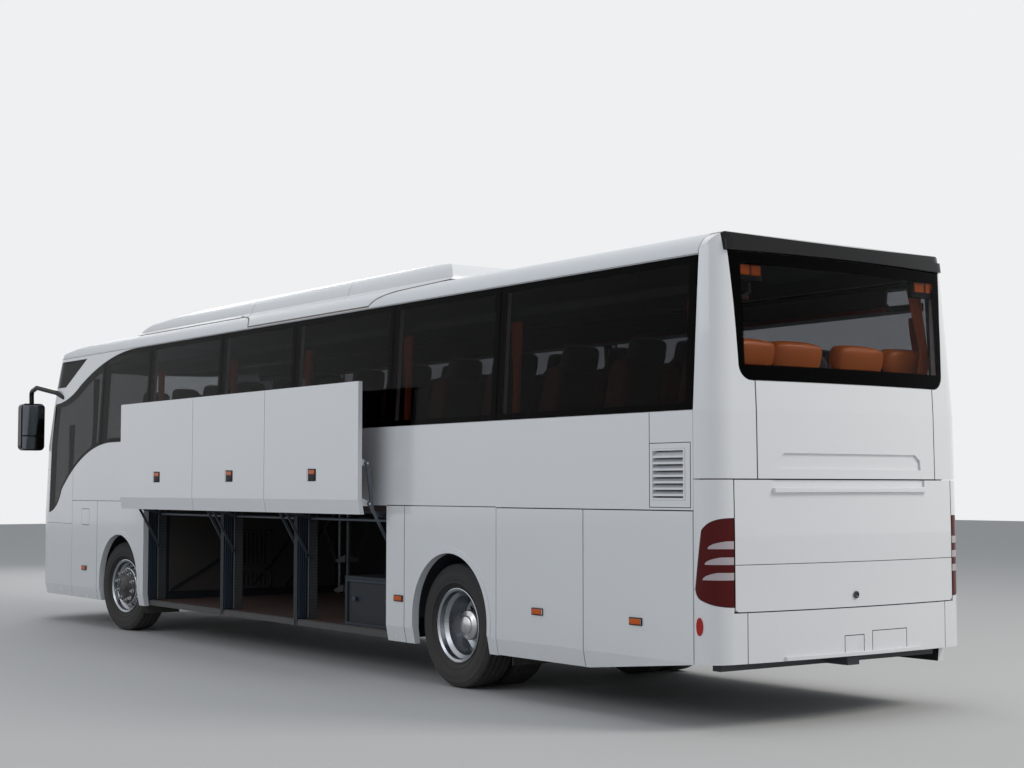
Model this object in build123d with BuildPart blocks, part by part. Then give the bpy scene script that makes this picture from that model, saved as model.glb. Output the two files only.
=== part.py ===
from build123d import *
import math
import os

# Two-axle high-deck touring coach, about 13 m long, as an assembly of its real pieces.
# Frame: +X forward, +Y to the left side, +Z up. The origin is on the ground, at mid-length and
# on the centreline. All lengths are in millimetres.

os.makedirs("parts", exist_ok=True)

# Overall sizes of the body
half_width = 1275
rear_end = -6475
front_end = 6490
skirt_z = 320
wall = 60
pane = 13.5
rebate_depth = 14
seam = 8

# Levels, above the ground
sill_z = 380
side_seam_z = 1478
belt_z = 2154
band_top_z = 3229
crown_z = 3432
deck_z = 1470
deck_thickness = 50
driver_floor_z = 900
rear_seam_z = 1686

# Places along the body
rear_axle_x = -3220
front_axle_x = 3640
rear_corner_x = -6180
front_panel_x = 5000
bay_front_x = 2880
bay_rear_x = -2250
front_arch_x = 3570
arch_half_width = 545
arch_top_z = 1095
arch_spring_z = 520

# Wheels: 295/80 R22.5 tyres, as loaded
tyre_radius = 505
tyre_width = 296
rim_radius = 298
hub_z = tyre_radius
front_tyre_y = 1052
rear_outer_tyre_y = 1070
rear_inner_tyre_y = 734
kingpin_y = 890
rest_steer = 7

# Luggage flaps: each stays upright while two pairs of arms swing it out and up
flap_out = 285
flap_rise = 1075
flap_thickness = 40
flap_pin_y = 1120
flap_pin_z = 765
flap_top_z = 1468
flap_foot_z = 325
link_drop = 350
flap_arm_length = (flap_out ** 2 + flap_rise ** 2) / (2 * flap_rise)
flap_pivot_z = flap_pin_z + flap_arm_length
link_pivot_z = flap_pivot_z - link_drop
tow_pin_radius = 20.5
tow_eye_x = (6370, -6380)


def cuboid(x, y, z, mode=Mode.ADD):
    """A box in the open part, from its low and high X, Y and Z."""
    with Locations(((x[0] + x[1]) / 2, (y[0] + y[1]) / 2, (z[0] + z[1]) / 2)):
        Box(abs(x[1] - x[0]), abs(y[1] - y[0]), abs(z[1] - z[0]), mode=mode)


def upright(y):
    """The upright plane at Y, with X to the right, and its normal towards -Y."""
    return Plane(origin=(0, y, 0), x_dir=(1, 0, 0), z_dir=(0, -1, 0))


def across(x):
    """The upright plane at X, with Y to the right, and its normal towards +X."""
    return Plane(origin=(x, 0, 0), x_dir=(0, 1, 0), z_dir=(1, 0, 0))


def rod(a, b, radius, mode=Mode.ADD):
    """A round bar in the open part from point a to point b."""
    start, end = Vector(*a), Vector(*b)
    with BuildSketch(Plane(origin=start, z_dir=end - start)) as disc:
        Circle(radius)
    extrude(disc.sketch, amount=(end - start).length, mode=mode)


def write(piece, name):
    """Label a finished piece and write its file."""
    piece.part.label = name
    export_step(piece.part, f"parts/{name}.step")


# The body's plan at each level: z, half width, rear end, front end
body_levels = (
    (skirt_z, half_width - 25, rear_end + 25, front_end - 35),
    (450, half_width, rear_end, front_end - 15),
    (1300, half_width, rear_end, front_end),
    (belt_z, half_width, rear_end + 12, front_end - 85),
    (2700, half_width - 30, rear_end + 35, front_end - 180),
    (band_top_z, half_width - 60, rear_end + 65, front_end - 340),
    (crown_z + 30, half_width - 73, rear_end + 90, front_end - 580),
)
rear_corner_radius = 190
front_corner_radius = 620


def hull(inset):
    """The body's outer form as one solid, moved inwards all round by the inset."""
    with BuildPart() as form:
        for z, width, rear, front in body_levels:
            level = z if z > skirt_z or inset == 0 else skirt_z - 60
            side = width - inset
            rear_corner = rear + inset + 97
            front_corner = front - inset - 280
            with BuildSketch(Plane.XY.offset(level)) as plan:
                with BuildLine():
                    ThreePointArc((rear_corner, side), (rear + inset, 0), (rear_corner, -side))
                    Line((rear_corner, -side), (front_corner, -side))
                    ThreePointArc((front_corner, -side), (front - inset, 0), (front_corner, side))
                    Line((front_corner, side), (rear_corner, side))
                make_face()
                fillet(plan.vertices().sort_by(Axis.X)[:2], rear_corner_radius - inset)
                fillet(plan.vertices().sort_by(Axis.X)[-2:], front_corner_radius - inset)
        loft(ruled=True)
        with BuildSketch(across(-7000)) as arch:
            with BuildLine():
                Polyline((1400, 100), (1400, 3200), (1222 - inset, 3200))
                ThreePointArc((1222 - inset, 3200), (1163 - inset, 3328 - inset), (1040, 3387 - inset))
                ThreePointArc((1040, 3387 - inset), (0, crown_z - inset), (-1040, 3387 - inset))
                ThreePointArc((-1040, 3387 - inset), (inset - 1163, 3328 - inset), (inset - 1222, 3200))
                Polyline((inset - 1222, 3200), (-1400, 3200), (-1400, 100), (1400, 100))
            make_face()
        extrude(amount=14000, mode=Mode.INTERSECT)
        top = crown_z - inset + 6
        with BuildSketch(upright(-1400)):
            with BuildLine():
                Polyline((-7000, 100), (7000, 100), (7000, 3000), (6150, 3195 - inset), (4560, top),
                         (-5900, top))
                ThreePointArc((-5900, top), (-6200, top - 37), (-6400, top - 88))
                Polyline((-6400, top - 88), (-7000, top - 330), (-7000, 100))
            make_face()
        extrude(amount=-2800, mode=Mode.INTERSECT)
    return form.part


outer_hull = hull(0)
pane_hull = hull(pane)
rebate_hull = hull(rebate_depth)
inner_hull = hull(wall)

with BuildPart() as skin:
    add(outer_hull)
    add(inner_hull, mode=Mode.SUBTRACT)

with BuildPart() as glass_layer:
    add(outer_hull)
    add(pane_hull, mode=Mode.SUBTRACT)

with BuildPart() as rebate_layer:
    add(outer_hull)
    add(rebate_hull, mode=Mode.SUBTRACT)

# The outermost 6 mm, where shallow seams of the rear are cut, and a layer from there to 22 mm
# beyond the surface, where its raised lips lie
groove_hull = hull(6)

with BuildPart() as groove_layer:
    add(outer_hull)
    add(groove_hull, mode=Mode.SUBTRACT)

with BuildPart() as lip_layer:
    add(hull(-22))
    add(groove_hull, mode=Mode.SUBTRACT)

# Window pillars along the sides, and the front end of the right side's windows
pillars = (-3880, -2287, -520, 1050, 2830, 4150)
right_band_end = 4500
right_bay_rear_x = -1340
door_x = (4550, 5450)
door_z = (340, 2672)
mid_door_x = (-2240, -1410)
mid_door_z = (340, 2120)
windscreen_z = (1292, 3190)
louvre_x = (-6100, -5750)
louvre_z = (1544, 1897)


def side_windows(side, margin, gap):
    """The zone of the side windows, its edge moved in by the margin and split by gaps at the pillars."""
    with BuildPart() as zone:
        with BuildSketch(upright(1400 if side > 0 else -900)) as band:
            with BuildLine():
                Polyline((5775, 1325), (5683, 2672))
                ThreePointArc((5683, 2672), (5300, 2718), (4900, 2870))
                ThreePointArc((4900, 2870), (4279, 3085), (3200, 3222))
                Polyline((3200, 3222), (rear_corner_x, 3222), (rear_corner_x, belt_z), (3800, belt_z))
                ThreePointArc((3800, belt_z), (4600, 2025), (5364, 1603))
                ThreePointArc((5364, 1603), (5530, 1410), (5775, 1325))
            make_face()
            if margin:
                offset(amount=-margin, kind=Kind.INTERSECTION, mode=Mode.REPLACE)
            for x in pillars:
                if gap:
                    with Locations((x, 2600)):
                        Rectangle(gap, 2400, mode=Mode.SUBTRACT)
            if side < 0:
                with Locations((right_band_end - margin + 1500, 2400)):
                    Rectangle(3000, 3000, mode=Mode.SUBTRACT)
        extrude(amount=500)
    return zone.part


def windscreen_zone(margin):
    """The zone of the windscreen, right across the front."""
    low, high = windscreen_z[0] + margin, windscreen_z[1] - margin
    with BuildPart() as zone:
        with BuildSketch(upright(1400)):
            with BuildLine():
                Polyline((5930 + margin, low), (7000, low), (7000, high), (5650 + margin, high),
                         (5840 + margin, 2750), (5930 + margin, low))
            make_face()
        extrude(amount=2800)
    return zone.part


def quarter_window(margin):
    """The zones of the black quarter panes beside the top of the windscreen."""
    with BuildPart() as zone:
        with BuildSketch(upright(1400)):
            with BuildLine():
                Polyline((4735, 3190), (5378, 2868), (5725, 2868), (5580, 3190), (4735, 3190))
            make_face()
            if margin:
                offset(amount=-margin, kind=Kind.INTERSECTION, mode=Mode.REPLACE)
        extrude(amount=2800)
    return zone.part


def rear_window_zone(margin):
    """The zone of the rear window: narrower at the foot, with rounded lower corners."""
    with BuildPart() as zone:
        with BuildSketch(across(-7000)):
            with BuildLine():
                Polyline((1085, 3246), (1058, 2880), (1035, 2355), (-1035, 2355), (-1058, 2880),
                         (-1085, 3246), (1085, 3246))
            outline = make_face()
            fillet(outline.vertices().sort_by(Axis.Y)[:2], 110)
            if margin:
                offset(amount=-margin, kind=Kind.INTERSECTION, mode=Mode.REPLACE)
        extrude(amount=1200)
    return zone.part


def tail_lamp_zone(margin):
    """The zones of the tail lamps, which wrap round the rear corners."""
    with BuildPart() as zone:
        with BuildSketch(upright(1400)) as side_view:
            with BuildLine():
                Line((-6199, 958), (-6254, 1340))
                ThreePointArc((-6254, 1340), (-6310, 1392), (-6420, 1422))
                Polyline((-6420, 1422), (-6700, 1422), (-6700, 823), (-6440, 826))
                ThreePointArc((-6440, 826), (-6340, 844), (-6262, 872))
                ThreePointArc((-6262, 872), (-6214, 905), (-6199, 958))
            make_face()
            if margin:
                offset(amount=margin, kind=Kind.INTERSECTION, mode=Mode.REPLACE)
        extrude(amount=1400 - 1108 + margin)
        mirror(about=Plane.XZ)
    return zone.part


def arch_zone(centre):
    """The open zone of a wheel arch on both sides of the body."""
    with BuildPart() as zone:
        with BuildSketch(upright(1400)):
            with BuildLine():
                low, high = centre - arch_half_width, centre + arch_half_width
                ThreePointArc((low, arch_spring_z), (centre, arch_top_z), (high, arch_spring_z))
                Polyline((high, arch_spring_z), (high, 200), (low, 200), (low, arch_spring_z))
            make_face()
        extrude(amount=2800)
    return zone.part


front_arch = arch_zone(front_arch_x)
rear_arch = arch_zone(rear_axle_x)


def arch_lip(centre, side):
    """The rolled lip round an arch, 6 mm proud of the open side wall."""
    width = arch_half_width + 45
    with BuildSketch(upright(1281 if side > 0 else -1240)) as lip:
        with BuildLine():
            low, high = centre - width, centre + width
            ThreePointArc((low, arch_spring_z), (centre, arch_top_z + 45), (high, arch_spring_z))
            Polyline((high, arch_spring_z), (high, 460), (low, 460), (low, arch_spring_z))
        make_face()
    extrude(lip.sketch, amount=41)


def rebate(zone):
    """The shallow seat that a pane in this zone lies in."""
    with BuildPart() as seat:
        add(rebate_layer.part)
        add(zone, mode=Mode.INTERSECT)
    return seat.part


# Side openings below the belt: side, low X, high X, low Z, high Z
bay_top = side_seam_z - 2
rear_flaps = {"rear_service_flap": (-4976, -3888), "engine_side_flap": (-6172, -4988)}
side_holes = {
    1: [(bay_rear_x, bay_front_x, 200, bay_top),
        (-6180, -3880, 200, bay_top),
        (4456, 4694, 1186, 1382)],
    -1: [(right_bay_rear_x, bay_front_x, 200, bay_top),
         (mid_door_x[0], mid_door_x[1], 200, mid_door_z[1] + seam),
         (-4984, -3880, 200, bay_top),
         (door_x[0] - 4, door_x[1] + 4, 200, door_z[1] + seam)],
}


# Seams between fixed side panels, 8 mm deep: low X, high X, low Z, high Z
left_seams = (
    (bay_front_x, front_panel_x, 1474, 1481),
    (-3880, bay_rear_x, 1474, 1481),
    (-2543, -2537, 300, 1474),
    (4210, 4216, 300, 1474),
    (-6158, -6152, 1490, 1939),
    (-5733, -5727, 1490, 2150),
    (-6158, -5727, 1490, 1495),
    (-6158, -5727, 1934, 1939),
)
right_seams = (
    (bay_front_x, door_x[0], 1474, 1481),
    (-3880, mid_door_x[0], 1474, 1481),
    (-6180, -4984, 1474, 1481),
    (-4987, -4981, 300, 1474),
    (4210, 4216, 300, 1474),
)


def side_wall(side):
    """One side of the body, from the front panels' seam to the rear corner, in the open part."""
    near, far = (700, 1400) if side > 0 else (-1400, -700)
    add(skin.part)
    with BuildSketch(upright(far)) as outline:
        with BuildLine():
            front = front_panel_x - 4 if side > 0 else door_x[1]
            Polyline((rear_corner_x, 200), (front, 200), (front, 1860), (5981, 1860), (5893, 2750),
                     (5671, 3225), (rear_corner_x, 3225), (rear_corner_x, 200))
        make_face()
    extrude(outline.sketch, amount=700, mode=Mode.INTERSECT)
    arch_lip(front_arch_x, side)
    arch_lip(rear_axle_x, side)
    for opening in (front_arch, rear_arch, side_windows(side, 48, 120), windscreen_zone(60)):
        add(opening, mode=Mode.SUBTRACT)
    for zone in (side_windows(side, 0, 0), windscreen_zone(0), quarter_window(0)):
        add(rebate(zone), mode=Mode.SUBTRACT)
    for low_x, high_x, low_z, high_z in side_holes[side]:
        cuboid((low_x, high_x), (near, far), (low_z, high_z), mode=Mode.SUBTRACT)
    depth = sorted((side * (half_width - 8), side * 1400))
    for low_x, high_x, low_z, high_z in left_seams if side > 0 else right_seams:
        cuboid((low_x, high_x), depth, (low_z, high_z), mode=Mode.SUBTRACT)
    if side > 0:
        cuboid((louvre_x[0] - 1, louvre_x[1] + 1), (near, far), (louvre_z[0] - 1, louvre_z[1] + 1),
               mode=Mode.SUBTRACT)
        cuboid((4446, 4704), (1130, half_width - wall + 1), (1176, 1392))
        cuboid((4456, 4694), (1140, half_width - wall + 2), (1186, 1382), mode=Mode.SUBTRACT)
        rod((4575, 1138, 1284), (4575, 1190, 1284), 45)


with BuildPart() as left_wall:
    side_wall(1)
write(left_wall, "left_wall")

with BuildPart() as right_wall:
    side_wall(-1)
write(right_wall, "right_wall")


def panel(zones, cuts):
    """A body panel in the open part: the skin inside all the zones, less the cuts."""
    add(skin.part)
    for zone in zones:
        add(zone, mode=Mode.INTERSECT)
    for cut in cuts:
        add(cut, mode=Mode.SUBTRACT)


def box_zone(x, y, z):
    """A box as a zone, from its low and high X, Y and Z."""
    with BuildPart() as zone:
        cuboid(x, y, z)
    return zone.part


def side_profile_zone(points, y):
    """A zone with this outline in side view, between two values of Y."""
    with BuildPart() as zone:
        with BuildSketch(upright(y[1])):
            with BuildLine():
                Polyline(*points, close=True)
            make_face()
        extrude(amount=y[1] - y[0])
    return zone.part


# Roof, with the strip above the windscreen
with BuildPart() as roof:
    panel([side_profile_zone([(rear_corner_x + 4, 3229), (rear_corner_x + 4, 3600), (7000, 3600),
                              (7000, 3130), (5671, 3130), (5671, 3229)], (-1400, 1400))],
          [windscreen_zone(60), rebate(windscreen_zone(0)),
           side_profile_zone([(5550, 3000), (5550, 3228), (5674, 3228), (5896, 2752), (5896, 2700)],
                             (-1400, 1400))])
write(roof, "roof")

# Front panels: the mask under the windscreen and the bumper below it
bumper_top_z = 1195
lamp_zone = box_zone((6050, 7000), (640, 1400), (640, 905))
with BuildPart() as lamp_zones:
    add(lamp_zone)
    mirror(about=Plane.XZ)

with BuildPart() as front_panels:
    with BuildPart(mode=Mode.PRIVATE) as mask:
        panel([side_profile_zone([(front_panel_x + 4, bumper_top_z + 4), (7000, bumper_top_z + 4),
                                  (7000, 1352), (6056, 1352), (5981, 1856), (front_panel_x + 4, 1856)],
                                 (-1400, 1400))],
              [side_windows(1, 48, 0), rebate(side_windows(1, 0, 0)), rebate(windscreen_zone(0)),
               windscreen_zone(60),
               box_zone((4900, door_x[1] + 4), (-1400, -700), (1000, 2700))])
    with BuildPart(mode=Mode.PRIVATE) as bumper:
        panel([box_zone((front_panel_x + 4, 7000), (-1400, 1400), (skirt_z, bumper_top_z))],
              [lamp_zones.part, box_zone((4900, door_x[1] + 4), (-1400, -700), (200, 1300)),
               box_zone((6300, 7000), (-420, 420), (430, 600))])
    add(mask.part)
    add(bumper.part)
write(front_panels, "front_panels")

with BuildPart() as headlamps:
    panel([box_zone((6054, 7000), (644, 1396), (644, 901))], [])
    mirror(about=Plane.XZ)
write(headlamps, "headlamps")

# Glazing
with BuildPart() as side_glass:
    for side in (-1, 1):
        with BuildPart(mode=Mode.PRIVATE) as panes:
            add(glass_layer.part)
            add(side_windows(side, 4, 10), mode=Mode.INTERSECT)
        add(panes.part)
    with BuildPart(mode=Mode.PRIVATE) as quarters:
        add(glass_layer.part)
        add(quarter_window(4), mode=Mode.INTERSECT)
    add(quarters.part)
write(side_glass, "side_glass")

with BuildPart() as windscreen:
    add(glass_layer.part)
    add(windscreen_zone(5), mode=Mode.INTERSECT)
write(windscreen, "windscreen")

with BuildPart() as rear_window:
    add(glass_layer.part)
    add(rear_window_zone(4), mode=Mode.INTERSECT)
write(rear_window, "rear_window")

# Rear end: corner panels, the panel under the window, the bumper and the engine hatch
hatch_half_width = 1108
hatch_z = (796, rear_seam_z - 5)
upper_panel_half_width = 905
upper_panel_z = (rear_seam_z + 4, 2396)
bumper_side_top_z = 948
rear_y = (-1400, 1400)
bumper_wedge = [(-4980, 100), (-4980, skirt_z), (rear_corner_x, 440), (-6600, 458), (-6600, 100)]


def rear_view_zone(points, corner_radius=0):
    """A zone behind X -6200 with this outline in rear view, its two lowest corners rounded."""
    with BuildPart() as zone:
        with BuildSketch(across(-7000)) as outline:
            Polygon(*points, align=None)
            if corner_radius:
                fillet(outline.vertices().sort_by(Axis.Y)[:2], corner_radius)
        extrude(amount=800)
    return zone.part


def rectangle(half, low, high):
    """The corners of a rectangle about the centreline, in rear view."""
    return ((half, high), (-half, high), (-half, low), (half, low))


def groove(points):
    """Cut this outline in rear view out of the outermost 6 mm of the open part."""
    with BuildPart(mode=Mode.PRIVATE) as cut:
        add(groove_layer.part)
        add(rear_view_zone(points), mode=Mode.INTERSECT)
    add(cut.part, mode=Mode.SUBTRACT)


def raised_lip(outline, half):
    """Add a lip proud of the rear, with this side-view outline and half width."""
    with BuildPart(mode=Mode.PRIVATE) as lip:
        add(lip_layer.part)
        add(side_profile_zone(outline, (-half, half)), mode=Mode.INTERSECT)
    add(lip.part)


# The black cap over the rear window, from the window's top edge over the roof's edge
def cap_zone(margin):
    """The zone of the black cap between the two rear corners."""
    half = 1105 + margin
    with BuildPart() as zone:
        with BuildSketch(across(-7000)):
            Polygon((half, 3249 - margin), (half + 23, 3600), (-half - 23, 3600), (-half, 3249 - margin),
                    align=None)
        extrude(amount=7000 + rear_corner_x - 4 + margin)
    return zone.part


with BuildPart() as rear_body:
    with BuildPart(mode=Mode.PRIVATE) as lower_corners:
        panel([box_zone((-7000, rear_corner_x - 4), rear_y, (bumper_side_top_z + 3, rear_seam_z - 4))],
              [box_zone((-7000, -6200), (-hatch_half_width, hatch_half_width), (700, 1800)),
               tail_lamp_zone(4)])
    with BuildPart(mode=Mode.PRIVATE) as upper_corners:
        panel([box_zone((-7000, rear_corner_x - 4), rear_y, (rear_seam_z + 4, 3600))],
              [box_zone((-7000, -6200), (-upper_panel_half_width, upper_panel_half_width), (1600, 2400)),
               cap_zone(4), rear_window_zone(45), rebate(rear_window_zone(0))])
    with BuildPart(mode=Mode.PRIVATE) as upper_panel:
        half = upper_panel_half_width - 4
        panel([box_zone((-7000, -6200), (-half, half), upper_panel_z)],
              [rebate(rear_window_zone(0)), rear_window_zone(45)])
        with BuildPart(mode=Mode.PRIVATE) as recess:
            add(rebate_layer.part)
            add(rear_view_zone(((670, 1865), (-670, 1865), (-725, 1825), (-735, 1756), (735, 1756),
                                (725, 1825))), mode=Mode.INTERSECT)
        add(recess.part, mode=Mode.SUBTRACT)
    add(lower_corners.part)
    add(upper_corners.part)
    add(upper_panel.part)
write(rear_body, "rear_body")

with BuildPart() as tail_lamps:
    panel([tail_lamp_zone(0)], [box_zone((-6700, -6100), (-1112, 1112), (700, 1500))])

with BuildPart() as rear_bumper:
    panel([box_zone((-7000, rear_corner_x - 4), rear_y, (300, bumper_side_top_z - 3))],
          [side_profile_zone(bumper_wedge, rear_y), tail_lamp_zone(4),
           box_zone((-7000, -6200), (-1112, 1112), (hatch_z[0] - 8, 1000))])
    raised_lip([(-6600, 462), (-6600, 478), (-6300, 484), (-6300, 450)], 690)
    for low, high, top in ((-67, 132, 600), (-531, -150, 622)):
        groove(((low, 484), (low, top), (low + 5, top), (low + 5, 484)))
        groove(((high - 5, 484), (high - 5, top), (high, top), (high, 484)))
        groove(((low, top - 5), (low, top), (high, top), (high, top - 5)))
    for y in (-1005, 1000):
        groove(((y, 300), (y, 788), (y + 5, 788), (y + 5, 300)))
write(rear_bumper, "rear_bumper")

with BuildPart() as engine_hatch:
    panel([rear_view_zone(rectangle(hatch_half_width - 6, *hatch_z), 35)], [])
    groove(rectangle(1200, 1108, 1112))
    with BuildPart(mode=Mode.PRIVATE) as scoop:
        add(rebate_layer.part)
        add(rear_view_zone(rectangle(775, 1634, 1720)), mode=Mode.INTERSECT)
    add(scoop.part, mode=Mode.SUBTRACT)
    raised_lip([(-6600, 1604), (-6600, 1612), (-6300, 1640), (-6300, 1588)], 775)
    rod((-6482, 17, 879), (-6440, 17, 879), 16)
write(engine_hatch, "engine_hatch")

with BuildPart() as rear_spoiler:
    panel([cap_zone(0)], [])
    raised_lip([(-6600, 3256), (-6600, 3272), (-6300, 3330), (-6300, 3249)], 1100)
write(rear_spoiler, "rear_spoiler")

# Roof: the air conditioner's long fairing and the two hatches
with BuildPart() as aircon_fairing:
    with BuildSketch(upright(1200)):
        with BuildLine():
            ThreePointArc((3640, 3400), (3520, 3452), (3180, 3508))
            ThreePointArc((3180, 3508), (2100, 3580), (1000, 3606))
            Polyline((1000, 3606), (-100, 3622), (-1450, 3618), (-2700, 3556))
            ThreePointArc((-2700, 3556), (-2830, 3510), (-2900, 3400))
            Polyline((-2900, 3400), (-1760, 3350))
            ThreePointArc((-1760, 3350), (-1620, 3320), (-1560, 3240))
            Polyline((-1560, 3240), (750, 3240))
            ThreePointArc((750, 3240), (800, 3330), (1060, 3372))
            Polyline((1060, 3372), (3640, 3390), (3640, 3400))
        make_face()
    extrude(amount=2400)
    with BuildSketch(across(-4000)):
        with BuildLine():
            ThreePointArc((1128, 3240), (1085, 3350), (1020, 3420))
            ThreePointArc((1020, 3420), (960, 3540), (820, 3592))
            ThreePointArc((820, 3592), (0, 3624), (-820, 3592))
            ThreePointArc((-820, 3592), (-960, 3540), (-1020, 3420))
            ThreePointArc((-1020, 3420), (-1085, 3350), (-1128, 3240))
            Polyline((-1128, 3240), (1128, 3240))
        make_face()
    extrude(amount=9000, mode=Mode.INTERSECT)
    cuboid((-2500, 2300), (-780, 780), (3200, 3545), mode=Mode.SUBTRACT)
    add(outer_hull, mode=Mode.SUBTRACT)
    for x in (-1140, 810):
        with BuildPart(mode=Mode.PRIVATE) as joint:
            with BuildSketch(across(x - 4)):
                with Locations((0, 3100)):
                    Rectangle(2600, 900, align=(Align.CENTER, Align.MIN))
                with BuildLine():
                    ThreePointArc((1080, 3240), (1030, 3380), (1010, 3420))
                    ThreePointArc((1010, 3420), (950, 3530), (815, 3583))
                    ThreePointArc((815, 3583), (0, 3615), (-815, 3583))
                    ThreePointArc((-815, 3583), (-950, 3530), (-1010, 3420))
                    ThreePointArc((-1010, 3420), (-1030, 3380), (-1080, 3240))
                    Polyline((-1080, 3240), (-1080, 3090), (1080, 3090), (1080, 3240))
                make_face(mode=Mode.SUBTRACT)
            extrude(amount=8)
        add(joint.part, mode=Mode.SUBTRACT)

# Roof hatches: low and high X, half width, top, how far the top is drawn in
hatch_table = ((-3690, -2990, 420, 3535, 60), (3960, 4560, 380, 3496, 40))
with BuildPart() as roof_hatches:
    for low, high, half, top, draw in hatch_table:
        with BuildPart(mode=Mode.PRIVATE) as hatch:
            for level, inset in ((3300, 0), (top - 25, draw / 3), (top, draw)):
                with BuildSketch(Plane.XY.offset(level)):
                    with Locations(((low + high) / 2, 0)):
                        RectangleRounded(high - low - 2 * inset, 2 * (half - inset), 90)
            loft(ruled=True)
            add(outer_hull, mode=Mode.SUBTRACT)
        add(hatch.part)

with BuildPart() as roof_units:
    add(aircon_fairing.part)
    add(roof_hatches.part)
write(roof_units, "roof_units")

# Louvre grille in the left side, above the engine bay: seven blades over two slots
louvre_pitch = 44
with BuildPart() as louvre_grille:
    cuboid(louvre_x, (half_width - 52, half_width + 4), louvre_z)
    cuboid((louvre_x[0] + 16, louvre_x[1] - 16), (1200, 1300), (louvre_z[0] + 14, louvre_z[1] - 14),
           mode=Mode.SUBTRACT)
    for step in range(7):
        foot = louvre_z[0] + 30 + step * louvre_pitch
        with BuildSketch(across(louvre_x[0] + 8)) as blade:
            with BuildLine():
                Polyline((half_width, foot - 4), (half_width, foot + 10), (half_width - 44, foot + 40),
                         (half_width - 48, foot + 32), close=True)
            make_face()
        extrude(blade.sketch, amount=louvre_x[1] - louvre_x[0] - 16)
write(louvre_grille, "louvre_grille")

# Marker lamps on the fixed panels: X, Y side, height, length
marker_table = ((4584, 1, 678), (-2456, 1, 690), (-2456, -1, 690), (4330, -1, 678))
with BuildPart() as marker_lamps:
    for x, side, z in marker_table:
        with Locations((x, side * half_width, z)):
            Box(130, 28, 40)
    for side in (-1, 1):
        with BuildSketch(upright(side * (half_width - 8) + 13)) as oval:
            with Locations((-6236, 698)):
                Ellipse(29, 60)
        extrude(oval.sketch, amount=26)
    add(outer_hull, mode=Mode.SUBTRACT)

with BuildPart() as tail_and_side_lamps:
    add(tail_lamps.part)
    add(marker_lamps.part)
write(tail_and_side_lamps, "tail_and_side_lamps")

# Mirrors on swept arms that leave the body beside the top of the windscreen
with BuildPart() as mirrors:
    with BuildPart(mode=Mode.PRIVATE) as left_mirror:
        with BuildSketch(across(6300)):
            with Locations((1311, 2405)):
                RectangleRounded(310, 600, 60)
        extrude(amount=110)
        with BuildLine() as route:
            FilletPolyline((5420, 1222, 2740), (5620, 1262, 2815), (6120, 1330, 2900), (6345, 1320, 2860),
                           (6350, 1312, 2650), radius=70)
        with BuildSketch(Plane(origin=route.line @ 0, z_dir=route.line % 0)):
            Circle(30)
        sweep(path=route.line)
        add(outer_hull, mode=Mode.SUBTRACT)
    add(left_mirror.part)
    mirror(about=Plane.XZ)
write(mirrors, "mirrors")

# Underframe: luggage floor, bulkheads, posts and the rails that carry the axles and the engine
bay_top_z = deck_z - deck_thickness - 2
inner_y = half_width - wall
floor_half_width = 1180
post_y = (1095, 1216)
left_posts = (1040, -520)
right_posts = (760,)
rail_y = (340, 400)
rail_z = (700, 855)
front_liner_radius = 640
rear_liner_radius = 602
liner_z = 530
panel_gap = 1
floor_foot_z = skirt_z + 14
stair_wall_y = -520

# Luggage bay: floor, bulkheads, the box round the middle steps, posts and the toolbox at its rear.
# They are separate boards and posts, 1 mm apart at their joints.
with BuildPart() as luggage_bay:
    cuboid((bay_rear_x - 50, bay_front_x + 50), (-floor_half_width, floor_half_width), (floor_foot_z, sill_z))
    cuboid((bay_rear_x + 4, bay_front_x - 4), (floor_half_width, 1203), (floor_foot_z, sill_z))
    cuboid((right_bay_rear_x + 4, bay_front_x - 4), (-1203, -floor_half_width), (floor_foot_z, sill_z))
    for low in (bay_rear_x - 50, bay_front_x):
        cuboid((low, low + 50), (-inner_y, inner_y), (sill_z + 70, bay_top_z))
        cuboid((low, low + 50), (-floor_half_width, floor_half_width), (sill_z + panel_gap, sill_z + 70))
    cuboid((right_bay_rear_x - 50, right_bay_rear_x - 10), (-floor_half_width, stair_wall_y - panel_gap),
           (sill_z + panel_gap, bay_top_z))
    cuboid((bay_rear_x + panel_gap, right_bay_rear_x - 10), (stair_wall_y, stair_wall_y + 40),
           (sill_z + panel_gap, bay_top_z))
    for posts, side in ((left_posts, 1), (right_posts, -1)):
        for x in posts:
            cuboid((x - 35, x + 35), sorted((side * post_y[0], side * post_y[1])),
                   (sill_z + panel_gap, bay_top_z - 15))
    # Fixed pins of the left flaps' lower links, on the posts and the bulkheads
    for low, high in ((bay_rear_x, -2242 + 68), (-555, -524 - 56), (-485, -516 + 68), (1005, 1036 - 56),
                      (1075, 1044 + 68), (bay_front_x, 2872 - 68)):
        rod((low, flap_pin_y, link_pivot_z), (high, flap_pin_y, link_pivot_z), 10)
    cuboid((-2130, -1215), (700, 1078), (sill_z + panel_gap, 825))
    cuboid((-2090, -1255), (1064, 1090), (sill_z + 30, 795), mode=Mode.SUBTRACT)
write(luggage_bay, "luggage_bay")

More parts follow.
